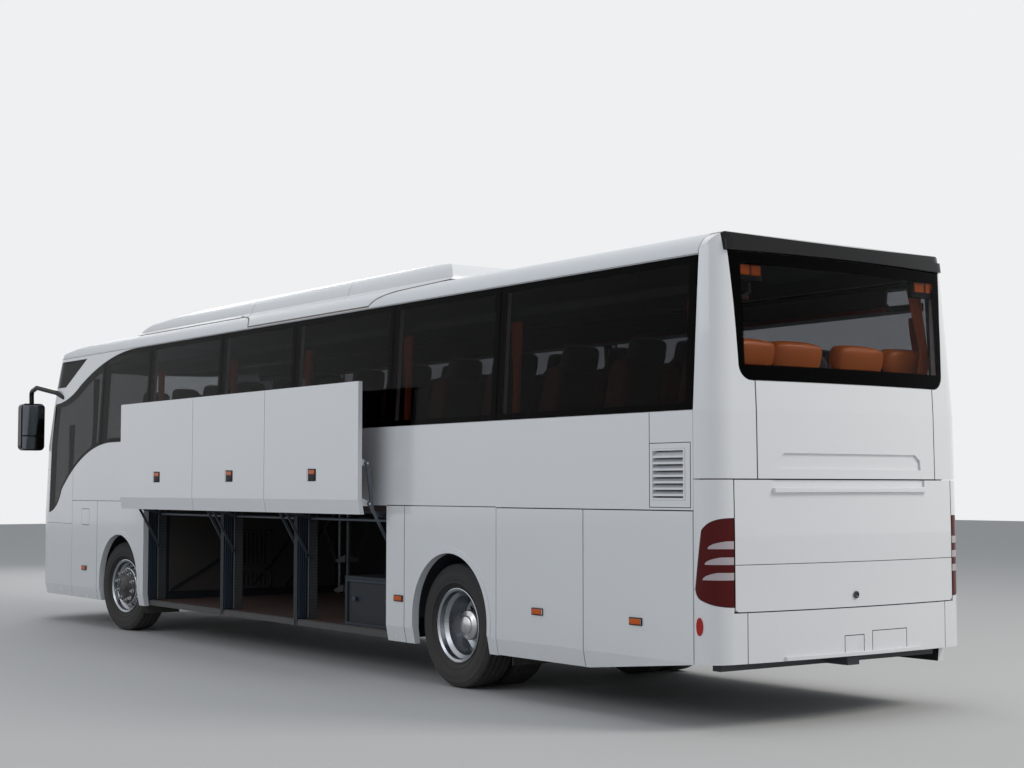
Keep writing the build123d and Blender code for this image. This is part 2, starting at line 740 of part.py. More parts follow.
with BuildPart() as underframe:
    for side in (-1, 1):
        rail = sorted((side * rail_y[0], side * rail_y[1]))
        outrigger = sorted((side * rail_y[1], side * 1130))
        for low, high in ((-6250, bay_rear_x - 50), (bay_front_x + 50, 6150)):
            cuboid((low, high), rail, rail_z)
        for x in (-6250, -3960, -2600, 2930, 4300, 5940):
            cuboid((x, x + 60), outrigger, (rail_z[1] - 60, rail_z[1]))
        for x in (rear_axle_x - 420, rear_axle_x + 420, front_axle_x):
            cuboid((x - 90, x + 90), sorted((side * rail_y[1], side * 580)), (rail_z[0], rail_z[0] + 30))
        for centre, radius in ((front_axle_x, front_liner_radius), (rear_axle_x, rear_liner_radius)):
            with BuildSketch(upright(1212 if side > 0 else -600)) as liner:
                with BuildLine():
                    CenterArc((centre, liner_z), radius + 10, 0, 180)
                    Line((centre - radius - 10, liner_z), (centre - radius, liner_z))
                    CenterArc((centre, liner_z), radius, 0, 180)
                    Line((centre + radius, liner_z), (centre + radius + 10, liner_z))
                make_face()
            extrude(liner.sketch, amount=612)
    for x in (-6250, -4700, -3950, -2560, 2990, 4300, 5200, 6050):
        cuboid((x, x + 80), (-rail_y[0], rail_y[0]), rail_z)
    # The underrun beam across the tail, on two drop plates
    cuboid((-6230, -6150), (-1080, 1080), (385, 445))
    for side in (-1, 1):
        cuboid((-6230, -6190), sorted((side * rail_y[0], side * rail_y[1])), (445, rail_z[0]))
    # Towing eyes, each a block with an upright pin hole, carried by a drop plate
    cuboid((6060, 6120), (-60, 60), (465, rail_z[0]))
    cuboid((6060, 6405), (-60, 60), (465, 575))
    cuboid((-6240, -6190), (-60, 60), (385, rail_z[0]))
    cuboid((-6430, -6190), (-60, 60), (385, 440))
    for x, low, high in ((tow_eye_x[0], 460, 580), (tow_eye_x[1], 380, 445)):
        rod((x, 0, low), (x, 0, high), tow_pin_radius, mode=Mode.SUBTRACT)
    # Hangers of the arms' torsion tubes, on a strip under the deck's edge
    for low, high, side in ((1044, 2872, 1), (-516, 1036, 1), (-2242, -524, 1), (764, 2872, -1),
                            (right_bay_rear_x + 8, 756, -1)):
        for x in (low + 130, high - 142):
            with BuildSketch(across(x)) as hanger:
                with Locations((side * flap_pin_y, flap_pivot_z)):
                    Circle(34)
                with Locations((side * flap_pin_y, (flap_pivot_z + bay_top_z) / 2)):
                    Rectangle(68, bay_top_z - flap_pivot_z)
                with Locations((side * flap_pin_y, flap_pivot_z)):
                    Circle(15.5, mode=Mode.SUBTRACT)
            extrude(hanger.sketch, amount=12)
    cuboid((right_bay_rear_x, bay_front_x - 1), (-1180, -1060), (bay_top_z - 14, bay_top_z))
    cuboid((bay_rear_x + 1, bay_front_x - 1), (1060, 1180), (bay_top_z - 14, bay_top_z))
write(underframe, "underframe")

# Cabin floor: the high deck, the driver's lower floor and the steps at both doors
deck_front_x = 4120
step_table = ((-1194, -935, 400), (-935, -700, 640), (-700, -480, 900))
mid_step_table = ((-1194, -1010, 414), (-1010, -850, 660), (-850, -690, 920), (-690, -530, 1190))
mid_stairs_x = (mid_door_x[0] + 10, right_bay_rear_x - 60)
with BuildPart() as cabin_floor:
    # The deck is three boards, 1 mm apart, round the opening over the middle steps
    deck = (deck_z - deck_thickness, deck_z)
    cuboid((-6150, mid_door_x[0] - panel_gap), (4 - inner_y, inner_y - 4), deck)
    cuboid((-6330, -6150), (-1000, 1000), deck)
    cuboid((mid_door_x[0], mid_stairs_x[1]), (panel_gap - 530, inner_y - 4), deck)
    cuboid((mid_stairs_x[1] + panel_gap, deck_front_x - 30 - panel_gap), (4 - inner_y, inner_y - 4), deck)
    for low_y, high_y, top in mid_step_table:
        cuboid(mid_stairs_x, (low_y, high_y), (top - 30, top))
        cuboid(mid_stairs_x, (high_y - 20, high_y), (top - 30, top + 270))
    cuboid((deck_front_x - 30, deck_front_x), (4 - inner_y, inner_y - 4), (driver_floor_z - 40, deck_z))
    cuboid((deck_front_x, 5800), (-480, inner_y - 4), (driver_floor_z - 40, driver_floor_z))
    cuboid((5800, 6200), (-480, 820), (driver_floor_z - 40, driver_floor_z))
    cuboid((deck_front_x, door_x[0] - 20), (4 - inner_y, -480), (driver_floor_z - 40, driver_floor_z))
    cuboid((door_x[1] + 10, 5900), (-1120, -480), (driver_floor_z - 40, driver_floor_z))
    for low_y, high_y, top in step_table:
        cuboid((door_x[0] - 20, door_x[1] + 10), (low_y, high_y), (top - 30, top))
        cuboid((door_x[0] - 20, door_x[1] + 10), (high_y - 20, high_y), (top - 30, min(top + 240, 900)))
    for low_x, high_x in ((door_x[0] - 40, door_x[0] - 20), (door_x[1] + 10, door_x[1] + 30)):
        cuboid((low_x, high_x), (-1194, -480), (370, driver_floor_z))
    for side in (-1, 1):
        rod((front_axle_x, side * 598, liner_z), (front_axle_x, side * 1214, liner_z),
            front_liner_radius + 12, mode=Mode.SUBTRACT)
write(cabin_floor, "cabin_floor")

# Passenger seats in pairs, the rear bench and the driver's and guide's seats
seat_pitch = 790
first_row_x = 3560
last_row_x = -5000
row_count = 12
bench_x = -5920
seat_width = 440


def seat_column(places, y, floor, width=seat_width):
    """Seats one behind another in the open part, their backrests' feet at the places, all at Y."""
    with BuildSketch(upright(y + width / 2)) as side_view:
        with Locations(*[(x, floor) for x in places]):
            Polygon((40, 330), (470, 350), (480, 450), (140, 450), (-60, 1060), (-190, 1040), align=None)
    extrude(side_view.sketch, amount=width)
    with BuildSketch(upright(y + 145)) as rests:
        with Locations(*[(x, floor) for x in places]):
            Polygon((-64, 1050), (-186, 1040), (-215, 1225), (-125, 1240), align=None)
    extrude(rests.sketch, amount=290)


def seat_stands(places, y, floor, width):
    """The stands under a column of seats in the open part."""
    with Locations(*[(x + 250, y, floor + 173) for x in places]):
        Box(240, width, 346)


left_rows = [first_row_x - seat_pitch * step for step in range(row_count)]
right_rows = [x for x in left_rows if not -2800 < x < -1900]
with BuildPart() as seats:
    for side, places in ((1, left_rows), (-1, right_rows)):
        for y in (450, 905):
            seat_column(places, side * y, deck_z)
        seat_stands(places, side * 677, deck_z, 120)
    for y in (-888, -444, 0, 444, 888):
        seat_column([bench_x], y, deck_z)
    seat_stands([bench_x], 0, deck_z, 2100)
    seat_column([4900], 700, driver_floor_z, 500)
    seat_stands([4900], 700, driver_floor_z, 320)
write(seats, "seats")

# Overhead racks along both sides, under the roof
with BuildPart() as overhead_racks:
    with BuildSketch(across(-6150)):
        with BuildLine():
            Polyline((1128, 3040), (1128, 2975), (760, 2950), (690, 3000), (700, 3110), (725, 3110),
                     (716, 3008), (768, 2976), (1100, 3000), (1100, 3040), close=True)
        make_face()
    extrude(amount=10100)
    mirror(about=Plane.XZ)
write(overhead_racks, "overhead_racks")

# Curtains, tied back beside the pillars
curtain_xs = (-6060, -3990, -2397, -630, 940, 2720)
with BuildPart() as curtains:
    with BuildPart(mode=Mode.PRIVATE) as left_curtains:
        with BuildSketch(across(-9000)) as hanging:
            Polygon((1156, 2120), (1206, 2120), (1164, 2940), (1122, 2940), align=None)
        extrude(amount=18000)
        with Locations(*[(x, 1160, 2600) for x in curtain_xs]):
            Box(140, 200, 1200, mode=Mode.INTERSECT)
    add(left_curtains.part)
    mirror(about=Plane.XZ)
write(curtains, "curtains")

# Driver's station: dashboard, steering column and wheel
with BuildPart() as driver_station:
    with BuildSketch(upright(1100)):
        with BuildLine():
            Polyline((5560, 902), (5560, 1250), (5480, 1560), (5560, 1650), (5850, 1620), (6200, 1330),
                     (6200, 902), close=True)
        make_face()
    extrude(amount=1700)
    with BuildSketch(Plane.XY.offset(800)):
        with BuildLine():
            ThreePointArc((5300, 1120), (6250, 700), (6330, 0))
            Polyline((6330, 0), (6250, -700), (5300, -700), (5300, 1120))
        make_face()
    extrude(amount=1000, mode=Mode.INTERSECT)
    rod((5600, 700, 1350), (5400, 700, 1640), 35)
    tilt = Plane(origin=(5400, 700, 1640), z_dir=(-200, 0, 290))
    with BuildSketch(tilt):
        Circle(225)
        Circle(195, mode=Mode.SUBTRACT)
        Rectangle(400, 34)
    extrude(amount=26)
write(driver_station, "driver_station")

with BuildPart() as engine_block:
    cuboid((-6160, -4800), (-330, 330), (480, 1280))
    cuboid((-5900, -5000), (330, 520), (870, 1180))
write(engine_block, "engine_block")

with BuildPart() as mud_flaps:
    for x, y, top in ((rear_axle_x - 640, 900, 780), (front_axle_x - 622, 975, 600)):
        for side in (-1, 1):
            cuboid((x - 12, x), sorted((side * (y - 200), side * (y + 200))), (230, top))
write(mud_flaps, "mud_flaps")

# Axles: a dropped front beam with kingpin bosses, and a rear housing with its final drive
with BuildPart() as axles:
    cuboid((front_axle_x - 55, front_axle_x + 55), (-620, 620), (330, 430))
    for side in (-1, 1):
        with BuildSketch(across(front_axle_x - 45)) as riser:
            with BuildLine():
                Polyline((side * 600, 330), (side * 600, 430), (side * 800, 560), (side * 868, 560),
                         (side * 868, 460), (side * 790, 450), (side * 700, 330), close=True)
            make_face()
        extrude(riser.sketch, amount=90)
        rod((front_axle_x, side * kingpin_y, hub_z - 75), (front_axle_x, side * kingpin_y, hub_z + 75), 48)
        rod((front_axle_x, side * kingpin_y, hub_z - 80), (front_axle_x, side * kingpin_y, hub_z + 80), 25.4,
            mode=Mode.SUBTRACT)
        rod((front_axle_x, side * 492, 430), (front_axle_x, side * 492, rail_z[0] - 1), 84)
        rod((front_axle_x + 40, side * 280, 380), (4290, side * 280, 660), 22)
        for x in (rear_axle_x - 420, rear_axle_x + 420):
            rod((x, side * 492, 560), (x, side * 492, rail_z[0] - 1), 84)
        cuboid((rear_axle_x - 480, rear_axle_x + 480), sorted((side * 440, side * 530)), (470, 560))
        rod((rear_axle_x, side * 280, 560), (rear_axle_x + 620, side * 280, 670), 24)
    rod((rear_axle_x, -1060, hub_z), (rear_axle_x, 1060, hub_z), 55)
    rod((rear_axle_x, -560, hub_z), (rear_axle_x, 560, hub_z), 85)
    rod((rear_axle_x, -130, hub_z), (rear_axle_x, 170, hub_z), 215)
    rod((rear_axle_x - 200, 20, hub_z + 20), (rear_axle_x - 1500, 20, hub_z + 150), 45)
write(axles, "axles")


# Wheel sections: each point is a radius and a distance outwards from the rim's middle
rim_half_section = ((304, 118), (296, 120), (278, 108), (272, 66), (244, 40))
rim_outer_section = ((252, 45), (280, 70), (286, 102), (304, 110))
front_disc_section = ((246, 30), (230, 46), (208, 94), (190, 104), (60, 104), (60, 84), (184, 86),
                      (196, 76), (216, 30), (246, 10))
rear_disc_section = ((246, -30), (240, -118), (215, -142), (90, -142), (90, -156), (220, -156),
                     (252, -126), (254, -40))


def rim_ring(middle, disc_section, flip=1):
    """A rim's channel and disc as sections in the open sketch, about the rim's middle."""
    ring = [(r, middle + y) for r, y in rim_half_section]
    ring += [(r, middle - y) for r, y in reversed(rim_half_section)]
    ring += [(r, middle - y) for r, y in reversed(rim_outer_section)]
    ring += [(r, middle + y) for r, y in rim_outer_section]
    Polygon(*ring, align=None)
    Polygon(*[(r, middle + flip * y) for r, y in disc_section], align=None)


def tyre_ring(middle):
    """A tyre's section in the open sketch: rounded shoulders and bulged walls."""
    half = tyre_width / 2
    tread = half - 42
    with BuildLine() as outline:
        for side in (-1, 1):
            Line((287, middle + side * 100), (307, middle + side * 108))
            ThreePointArc((307, middle + side * 108), (395, middle + side * half),
                          (462, middle + side * (half - 14)))
            ThreePointArc((462, middle + side * (half - 14)), (492, middle + side * (half - 22)),
                          (tyre_radius, middle + side * tread))
        Line((tyre_radius, middle - tread), (tyre_radius, middle + tread))
        Line((287, middle - 100), (287, middle + 100))
    make_face(outline.line.edges())


def hand_holes(part_y, radius, size, length):
    """Ten hand holes through a wheel's disc, in the open part at the origin."""
    with BuildSketch(upright(part_y)) as holes:
        with PolarLocations(radius, 10):
            RegularPolygon(size, 8)
    extrude(holes.sketch, amount=length, mode=Mode.SUBTRACT)


with BuildPart() as front_rim_form:
    with BuildSketch(Plane.XY):
        rim_ring(front_tyre_y, front_disc_section)
        Polygon((35.6, 985), (72, 985), (72, 1150), (58, 1178), (0, 1184), (0, 1140), (35.6, 1140),
                align=None)
    revolve(axis=Axis.Y)
    hand_holes(1180, 221, 21, 120)

with BuildPart() as front_tyre_form:
    with BuildSketch(Plane.XY):
        tyre_ring(front_tyre_y)
    revolve(axis=Axis.Y)

with BuildPart() as rear_rim_form:
    with BuildSketch(Plane.XY):
        rim_ring(rear_outer_tyre_y, rear_disc_section)
        rim_ring(rear_inner_tyre_y, rear_disc_section, -1)
        Polygon((55.6, 720), (105, 720), (105, 935), (121, 935), (121, 1080), (112, 1090), (72, 1090),
                (66, 1108), (0, 1112), (0, 1064), (55.6, 1064), align=None)
    revolve(axis=Axis.Y)
    hand_holes(940, 205, 20, 90)

with BuildPart() as rear_tyre_form:
    with BuildSketch(Plane.XY):
        tyre_ring(rear_outer_tyre_y)
        tyre_ring(rear_inner_tyre_y)
    revolve(axis=Axis.Y)

with BuildPart() as knuckle_form:
    for low in (-105, 80):
        with BuildSketch(Plane.XY.offset(low)) as lug:
            with Locations((0, kingpin_y)):
                Circle(46)
            with Locations((0, kingpin_y + 40)):
                Rectangle(92, 80)
        extrude(lug.sketch, amount=25)
    cuboid((-60, 60), (kingpin_y + 62, kingpin_y + 82), (-105, 105))
    rod((0, kingpin_y, -105), (0, kingpin_y, 105), 25)
    rod((0, kingpin_y + 80, 0), (0, 1136, 0), 35)
    cuboid((-230, 0), (kingpin_y - 10, kingpin_y + 14), (-105, -83))

# Each front piece is turned about its kingpin to the steering at rest
front_forms = (("knuckle", knuckle_form), ("front_rim", front_rim_form), ("front_tyre", front_tyre_form))
rear_forms = (("rear_rims", rear_rim_form), ("rear_tyres", rear_tyre_form))
for side, side_name in ((1, "left"), (-1, "right")):
    for form_name, form in front_forms + rear_forms:
        with BuildPart() as wheel_piece:
            handed = form.part if side > 0 else form.part.mirror(Plane.XZ)
            if form_name in ("rear_rims", "rear_tyres"):
                add(handed.moved(Location((rear_axle_x, 0, hub_z))))
            else:
                kingpin = Axis((0, side * kingpin_y, 0), (0, 0, 1))
                add(handed.rotate(kingpin, rest_steer).moved(Location((front_axle_x, 0, hub_z))))
        write(wheel_piece, f"{side_name}_{form_name}")

# Luggage flap linkage, worked out in the plane across the body: Y out, Z up
flap_pivot = (flap_pin_y, flap_pivot_z)
flap_turn = 90 + math.degrees(math.atan2(flap_rise - flap_arm_length, flap_out))
link_pivot = (flap_pin_y, link_pivot_z)
open_pin = (flap_pin_y + flap_out, flap_pin_z + flap_rise)
open_link_pin = (open_pin[0], open_pin[1] - link_drop)


def swan_neck_arm(x, thickness):
    """A swan-neck arm in the open part, raised: out under the wall's edge, then up to the flap's pin."""
    with BuildSketch(across(x - thickness / 2)) as arm:
        with BuildLine():
            FilletPolyline(flap_pivot, (flap_pivot[0] + 90, flap_pivot[1] + 30), (1352, 1408),
                           (1372, 1600), open_pin, radius=(40, 60, 200))
        trace(line_width=34)
        with Locations(flap_pivot, open_pin):
            Circle(26)
        with Locations(open_pin):
            Circle(9.5, mode=Mode.SUBTRACT)
    extrude(arm.sketch, amount=thickness)


def straight_link(x, thickness):
    """The lower link in the open part, raised: parallel to the line between the arm's pins."""
    with BuildSketch(across(x - thickness / 2)) as link:
        with BuildLine():
            Line(link_pivot, open_link_pin)
        trace(line_width=26)
        with Locations(link_pivot, open_link_pin):
            Circle(22)
            Circle(10.5, mode=Mode.SUBTRACT)
    extrude(link.sketch, amount=thickness)


def luggage_flap(low, high):
    """A luggage flap in the open part, closed: a 40 mm pan with its latch, and lugs with pins."""
    with BuildSketch(across(low)) as section:
        Polygon((half_width, flap_top_z), (half_width, 450), (half_width - 24, flap_foot_z),
                (half_width - 24 - flap_thickness, flap_foot_z), (half_width - flap_thickness, 450),
                (half_width - flap_thickness, flap_top_z), align=None)
    extrude(section.sketch, amount=high - low)
    middle = (low + high) / 2
    for a, b in ((low + 150, middle - 30), (middle + 30, high - 150)):
        cuboid((a, b), (half_width - flap_thickness - 1, half_width - 14), (500, 1380), mode=Mode.SUBTRACT)
    cuboid((middle - 38, middle + 38), (half_width - 12, half_width + 5), (610, 725), mode=Mode.SUBTRACT)
    cuboid((middle - 33, middle + 33), (half_width - 13, half_width - 3), (615, 720))
    inner = half_width - flap_thickness
    for end, inward in ((low, 1), (high, -1)):
        for offset, z in ((100, flap_pin_z), (62, flap_pin_z - link_drop)):
            pin_x = end + inward * offset
            plate = sorted((pin_x + inward * 12, pin_x + inward * 20))
            with BuildSketch(across(plate[0])) as lug:
                Polygon((inner + 4, z - 20), (inner + 4, z + 70), (flap_pin_y + 6, z + 20),
                        (flap_pin_y - 20, z), (flap_pin_y + 6, z - 20), align=None)
            extrude(lug.sketch, amount=8)
            rod((pin_x - inward * 8, flap_pin_y, z), (pin_x + inward * 14, flap_pin_y, z), 9)


def flap_mechanism(name, low, high, side, is_open):
    """Write a flap with its arms, and on the left side its lower links, raised or closed."""
    with BuildPart() as flap:
        luggage_flap(low, high)
    with BuildPart() as arms:
        for x in (low + 100, high - 100):
            swan_neck_arm(x, 10)
        rod((low + 85, *flap_pivot), (high - 85, *flap_pivot), 15)
    with BuildPart() as links:
        for x in (low + 62, high - 62):
            straight_link(x, 8)
    if is_open:
        flap_form = flap.part.moved(Location((0, flap_out, flap_rise)))
        arms_form = arms.part
        links_form = links.part
    else:
        flap_form = flap.part
        arms_form = arms.part.rotate(Axis((0, *flap_pivot), (1, 0, 0)), -flap_turn)
        links_form = links.part.rotate(Axis((0, *link_pivot), (1, 0, 0)), -flap_turn)
    for piece_name, form in ((name, flap_form), (f"{name}_arms", arms_form), (f"{name}_links", links_form)):
        if side < 0 and piece_name.endswith("links"):
            continue
        with BuildPart() as piece:
            add(form if side > 0 else form.mirror(Plane.XZ))
        write(piece, piece_name)


# Luggage flaps: name, low X, high X, side, raised in the rest pose
flap_table = (
    ("left_flap_front", 1044, 2872, 1, True),
    ("left_flap_middle", -516, 1036, 1, True),
    ("left_flap_rear", -2242, -524, 1, True),
    ("right_flap_front", 764, 2872, -1, False),
    ("right_flap_rear", right_bay_rear_x + 8, 756, -1, False),
)
for flap_row in flap_table:
    flap_mechanism(*flap_row)


def plain_flap(name, low, high, side):
    """Write a top-hinged flap of the side, 40 mm thick, its foot cut to the rising skirt."""
    with BuildPart() as flap:
        with BuildSketch(across(low)) as section:
            Polygon((half_width, flap_top_z), (half_width, 450), (half_width - 24, flap_foot_z),
                    (half_width - 24 - flap_thickness, flap_foot_z), (half_width - flap_thickness, 450),
                    (half_width - flap_thickness, flap_top_z), align=None)
        extrude(section.sketch, amount=high - low)
        cuboid((low + 60, high - 60), (half_width - flap_thickness - 1, half_width - 14), (540, 1380),
               mode=Mode.SUBTRACT)
        with Locations(((low + high) / 2, half_width + 3, 693)):
            Box(130, 22, 40)
        add(side_profile_zone(bumper_wedge, (1000, 1400)), mode=Mode.SUBTRACT)
        if side < 0:
            mirror(about=Plane.XZ, mode=Mode.REPLACE)
    write(flap, name)


for name, (low, high) in rear_flaps.items():
    plain_flap(name, low, high, 1)
plain_flap("right_service_flap", *rear_flaps["rear_service_flap"], -1)

with BuildPart() as fuel_flap:
    cuboid((4462, 4688), (half_width - 18, half_width), (1192, 1376))
write(fuel_flap, "fuel_flap")

# Passenger doors: each swings out and along the side on arms about an upright post
door_out = 270
door_travel = 800
door_pin_y = -1140
door_inset = 110
door_length = math.hypot(door_travel, door_out)


def door_geometry(pin_x, direction):
    """The post and the open pin of a door's arm, in plan, and the arm's turn from closed to open."""
    middle = (pin_x + direction * door_travel / 2, door_pin_y - door_out / 2)
    shift = (door_inset + door_out / 2) * door_length / door_travel
    post = (middle[0] + direction * shift * door_out / door_length,
            middle[1] + shift * door_travel / door_length)
    open_at = (pin_x + direction * door_travel, door_pin_y - door_out)
    closed_angle = math.degrees(math.atan2(door_pin_y - post[1], pin_x - post[0]))
    open_angle = math.degrees(math.atan2(open_at[1] - post[1], open_at[0] - post[0]))
    turn = (open_angle - closed_angle) % 360 if direction > 0 else -((closed_angle - open_angle) % 360)
    return post, open_at, turn


def door_arms(name, pin_x, direction, levels, jamb_x, floor_z):
    """Write a door's post with its two swan-neck arms, closed."""
    post, open_at, turn = door_geometry(pin_x, direction)
    with BuildPart() as arms:
        for level in levels:
            with BuildSketch(Plane.XY.offset(level)) as arm:
                with BuildLine():
                    FilletPolyline(post, (jamb_x - direction * 62, post[1] - 150),
                                   (jamb_x - direction * 50, -1335), open_at, radius=(50, 45))
                trace(line_width=30)
                with Locations(post, open_at):
                    Circle(26)
                with Locations(open_at):
                    Circle(10.5, mode=Mode.SUBTRACT)
            extrude(arm.sketch, amount=14)
        rod((*post, floor_z + 2), (*post, levels[-1] + 80), 18)
    with BuildPart() as closed_arms:
        add(arms.part.rotate(Axis((*post, 0), (0, 0, 1)), -turn))
    write(closed_arms, name)


def door_leaf(name, x, z, glass_z, pin_x, levels):
    """Write a door leaf with its pane and the lugs that its arms carry."""
    with BuildPart() as leaf:
        panel([box_zone(x, (-1400, -900), z)], [])
        pane_zone = box_zone((x[0] + 50, x[1] - 50), (-1400, -900), glass_z)
        cuboid((x[0] + 85, x[1] - 85), (-1400, -900), (glass_z[0] + 35, glass_z[1] - 35), mode=Mode.SUBTRACT)
        add(rebate(pane_zone), mode=Mode.SUBTRACT)
        for level in levels:
            cuboid((pin_x - 24, pin_x + 24), (door_pin_y - 80, door_pin_y), (level + 20, level + 34))
            with BuildSketch(Plane.XY.offset(level + 20)) as boss:
                with Locations((pin_x, door_pin_y)):
                    Circle(24)
            extrude(boss.sketch, amount=14)
            rod((pin_x, door_pin_y, level - 6), (pin_x, door_pin_y, level + 22), 10)
    write(leaf, name)
    with BuildPart() as leaf_pane:
        add(glass_layer.part)
        add(box_zone((x[0] + 54, x[1] - 54), (-1400, -900), (glass_z[0] + 4, glass_z[1] - 4)),
            mode=Mode.INTERSECT)
    write(leaf_pane, f"{name}_glass")


front_door_levels = (1030, 2585)
mid_door_levels = (1560, 2050)
door_leaf("front_door", (door_x[0] + 4, door_x[1] - 4), door_z, (1130, 2600), 5000, front_door_levels)
door_arms("front_door_arms", 5000, 1, front_door_levels, door_x[1], driver_floor_z)
door_leaf("mid_door", (mid_door_x[0] + 8, mid_door_x[1] - 8), mid_door_z, (1640, 2040), -1825,
          mid_door_levels)
door_arms("mid_door_arms", -1825, -1, mid_door_levels, mid_door_x[0], deck_z)
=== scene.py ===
import math
import bpy
import bmesh
from mathutils import Vector, Matrix


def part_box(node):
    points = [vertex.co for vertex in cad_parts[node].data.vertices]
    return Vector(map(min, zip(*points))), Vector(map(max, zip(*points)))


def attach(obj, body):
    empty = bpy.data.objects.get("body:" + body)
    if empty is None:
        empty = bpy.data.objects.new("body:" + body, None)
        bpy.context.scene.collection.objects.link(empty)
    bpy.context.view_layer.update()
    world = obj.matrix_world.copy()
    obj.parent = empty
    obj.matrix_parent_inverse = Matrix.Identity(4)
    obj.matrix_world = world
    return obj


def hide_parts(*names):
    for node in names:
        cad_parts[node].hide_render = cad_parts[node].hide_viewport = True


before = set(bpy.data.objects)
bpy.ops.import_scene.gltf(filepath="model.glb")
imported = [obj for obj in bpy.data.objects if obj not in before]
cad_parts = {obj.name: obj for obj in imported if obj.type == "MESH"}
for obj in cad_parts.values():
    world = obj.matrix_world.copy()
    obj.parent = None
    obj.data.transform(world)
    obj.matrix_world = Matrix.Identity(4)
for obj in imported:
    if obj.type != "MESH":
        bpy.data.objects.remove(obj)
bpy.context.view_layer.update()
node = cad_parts

# Camera: at eye height behind the coach's left rear corner, looking forward along its left side.
# Its place and its lens come from a fit to the straight edges in the photo.
camera_data = bpy.data.cameras.new("camera")
camera_data.lens = 58.79
camera_data.sensor_width = 36.0
camera_data.clip_end = 200.0
camera = bpy.data.objects.new("camera", camera_data)
bpy.context.scene.collection.objects.link(camera)
camera.location = (-14.622, 8.906, 1.625)
view_yaw, view_pitch = math.radians(-35.945), math.radians(3.5635)
view_line = Vector((math.cos(view_pitch) * math.cos(view_yaw),
                    math.cos(view_pitch) * math.sin(view_yaw), math.sin(view_pitch)))
camera.rotation_euler = view_line.to_track_quat("-Z", "Y").to_euler()
bpy.context.scene.camera = camera
bpy.context.scene.view_settings.view_transform = "Standard"


# Studio: a wide pale floor and a pale surround, lit by large soft lamps. The broad key lamp
# stands behind the rear right corner, where the photo's sun stands.
def new_piece(name, mesh_maker):
    """A new object whose mesh is what mesh_maker builds in a bmesh."""
    mesh = bpy.data.meshes.new(name)
    shape = bmesh.new()
    mesh_maker(shape)
    shape.to_mesh(mesh)
    shape.free()
    piece = bpy.data.objects.new(name, mesh)
    bpy.context.scene.collection.objects.link(piece)
    return piece


def feed(tree, socket, value):
    """Give an input socket a number, a colour or a link from another socket."""
    if isinstance(value, tuple):
        socket.default_value = (*value, 1.0)
    elif isinstance(value, (int, float)):
        socket.default_value = value
    else:
        tree.links.new(value, socket)


def new_material(name, values):
    """A new material with these values in its Principled shader; also its node tree and shader."""
    material = bpy.data.materials.new(name)
    material.use_nodes = True
    surface = material.node_tree.nodes["Principled BSDF"]
    for title, value in values.items():
        feed(material.node_tree, surface.inputs[title], value)
    return material, material.node_tree, surface


def math_node(tree, operation, first, second=0.0, clamp=False):
    """A Math node of one operation; each input is a number or a socket."""
    step = tree.nodes.new("ShaderNodeMath")
    step.operation = operation
    step.use_clamp = clamp
    feed(tree, step.inputs[0], first)
    feed(tree, step.inputs[1], second)
    return step.outputs[0]


def union(tree, masks):
    """The highest of several masks."""
    highest = masks[0]
    for mask in masks[1:]:
        highest = math_node(tree, "MAXIMUM", highest, mask)
    return highest


def blend_shaders(tree, factor, first, second, output):
    """Mix two shader nodes by a factor into the tree's output node."""
    blend = tree.nodes.new("ShaderNodeMixShader")
    for socket, value in zip(blend.inputs, (factor, first.outputs[0], second.outputs[0])):
        tree.links.new(value, socket)
    tree.links.new(blend.outputs[0], tree.nodes[output].inputs["Surface"])


studio_floor = new_piece("studio_floor", lambda shape: bmesh.ops.create_grid(
    shape, x_segments=2, y_segments=2, size=60.0))
floor_finish = {"Base Color": (0.50, 0.50, 0.49), "Roughness": 0.9}
studio_floor.data.materials.append(new_material("studio_floor_grey", floor_finish)[0])

# The air lights with a dim blue, and shows the camera, mirrors and glass a plain pale grey
world = bpy.data.worlds.new("studio_air")
bpy.context.scene.world = world
world.use_nodes = True
air = world.node_tree
air_light, air_seen = air.nodes["Background"], air.nodes.new("ShaderNodeBackground")
for background, colour, strength in ((air_light, (0.80, 0.86, 0.95), 0.45),
                                     (air_seen, (0.86, 0.87, 0.88), 1.0)):
    feed(air, background.inputs["Color"], colour)
    feed(air, background.inputs["Strength"], strength)
air_path = air.nodes.new("ShaderNodeLightPath")
air_rays = [air_path.outputs[f"Is {kind} Ray"] for kind in ("Camera", "Glossy", "Transmission")]
blend_shaders(air, union(air, air_rays), air_light, air_seen, "World Output")


def soft_lamp(name, place, aim, size, power, tint=(1.0, 1.0, 1.0)):
    """A large square lamp at a place, aimed at a point."""
    data = bpy.data.lights.new(name, "AREA")
    data.shape = "RECTANGLE"
    data.size, data.size_y = size
    data.energy = power
    data.color = tint
    lamp = bpy.data.objects.new(name, data)
    lamp.location = place
    lamp.rotation_euler = (Vector(aim) - Vector(place)).to_track_quat("-Z", "Y").to_euler()
    bpy.context.scene.collection.objects.link(lamp)


soft_lamp("key_lamp", (-16.0, -9.0, 13.0), (-2.0, 0.0, 1.5), (7.0, 7.0), 1650.0, (1.0, 0.97, 0.92))
soft_lamp("left_lamp", (-3.0, 16.0, 9.0), (0.0, 0.0, 1.2), (16.0, 6.0), 480.0, (0.93, 0.96, 1.0))
soft_lamp("front_lamp", (16.0, -5.0, 8.0), (4.0, 0.0, 1.5), (8.0, 6.0), 420.0)
soft_lamp("top_lamp", (0.0, 0.0, 16.0), (0.0, 0.0, 0.0), (20.0, 10.0), 480.0)


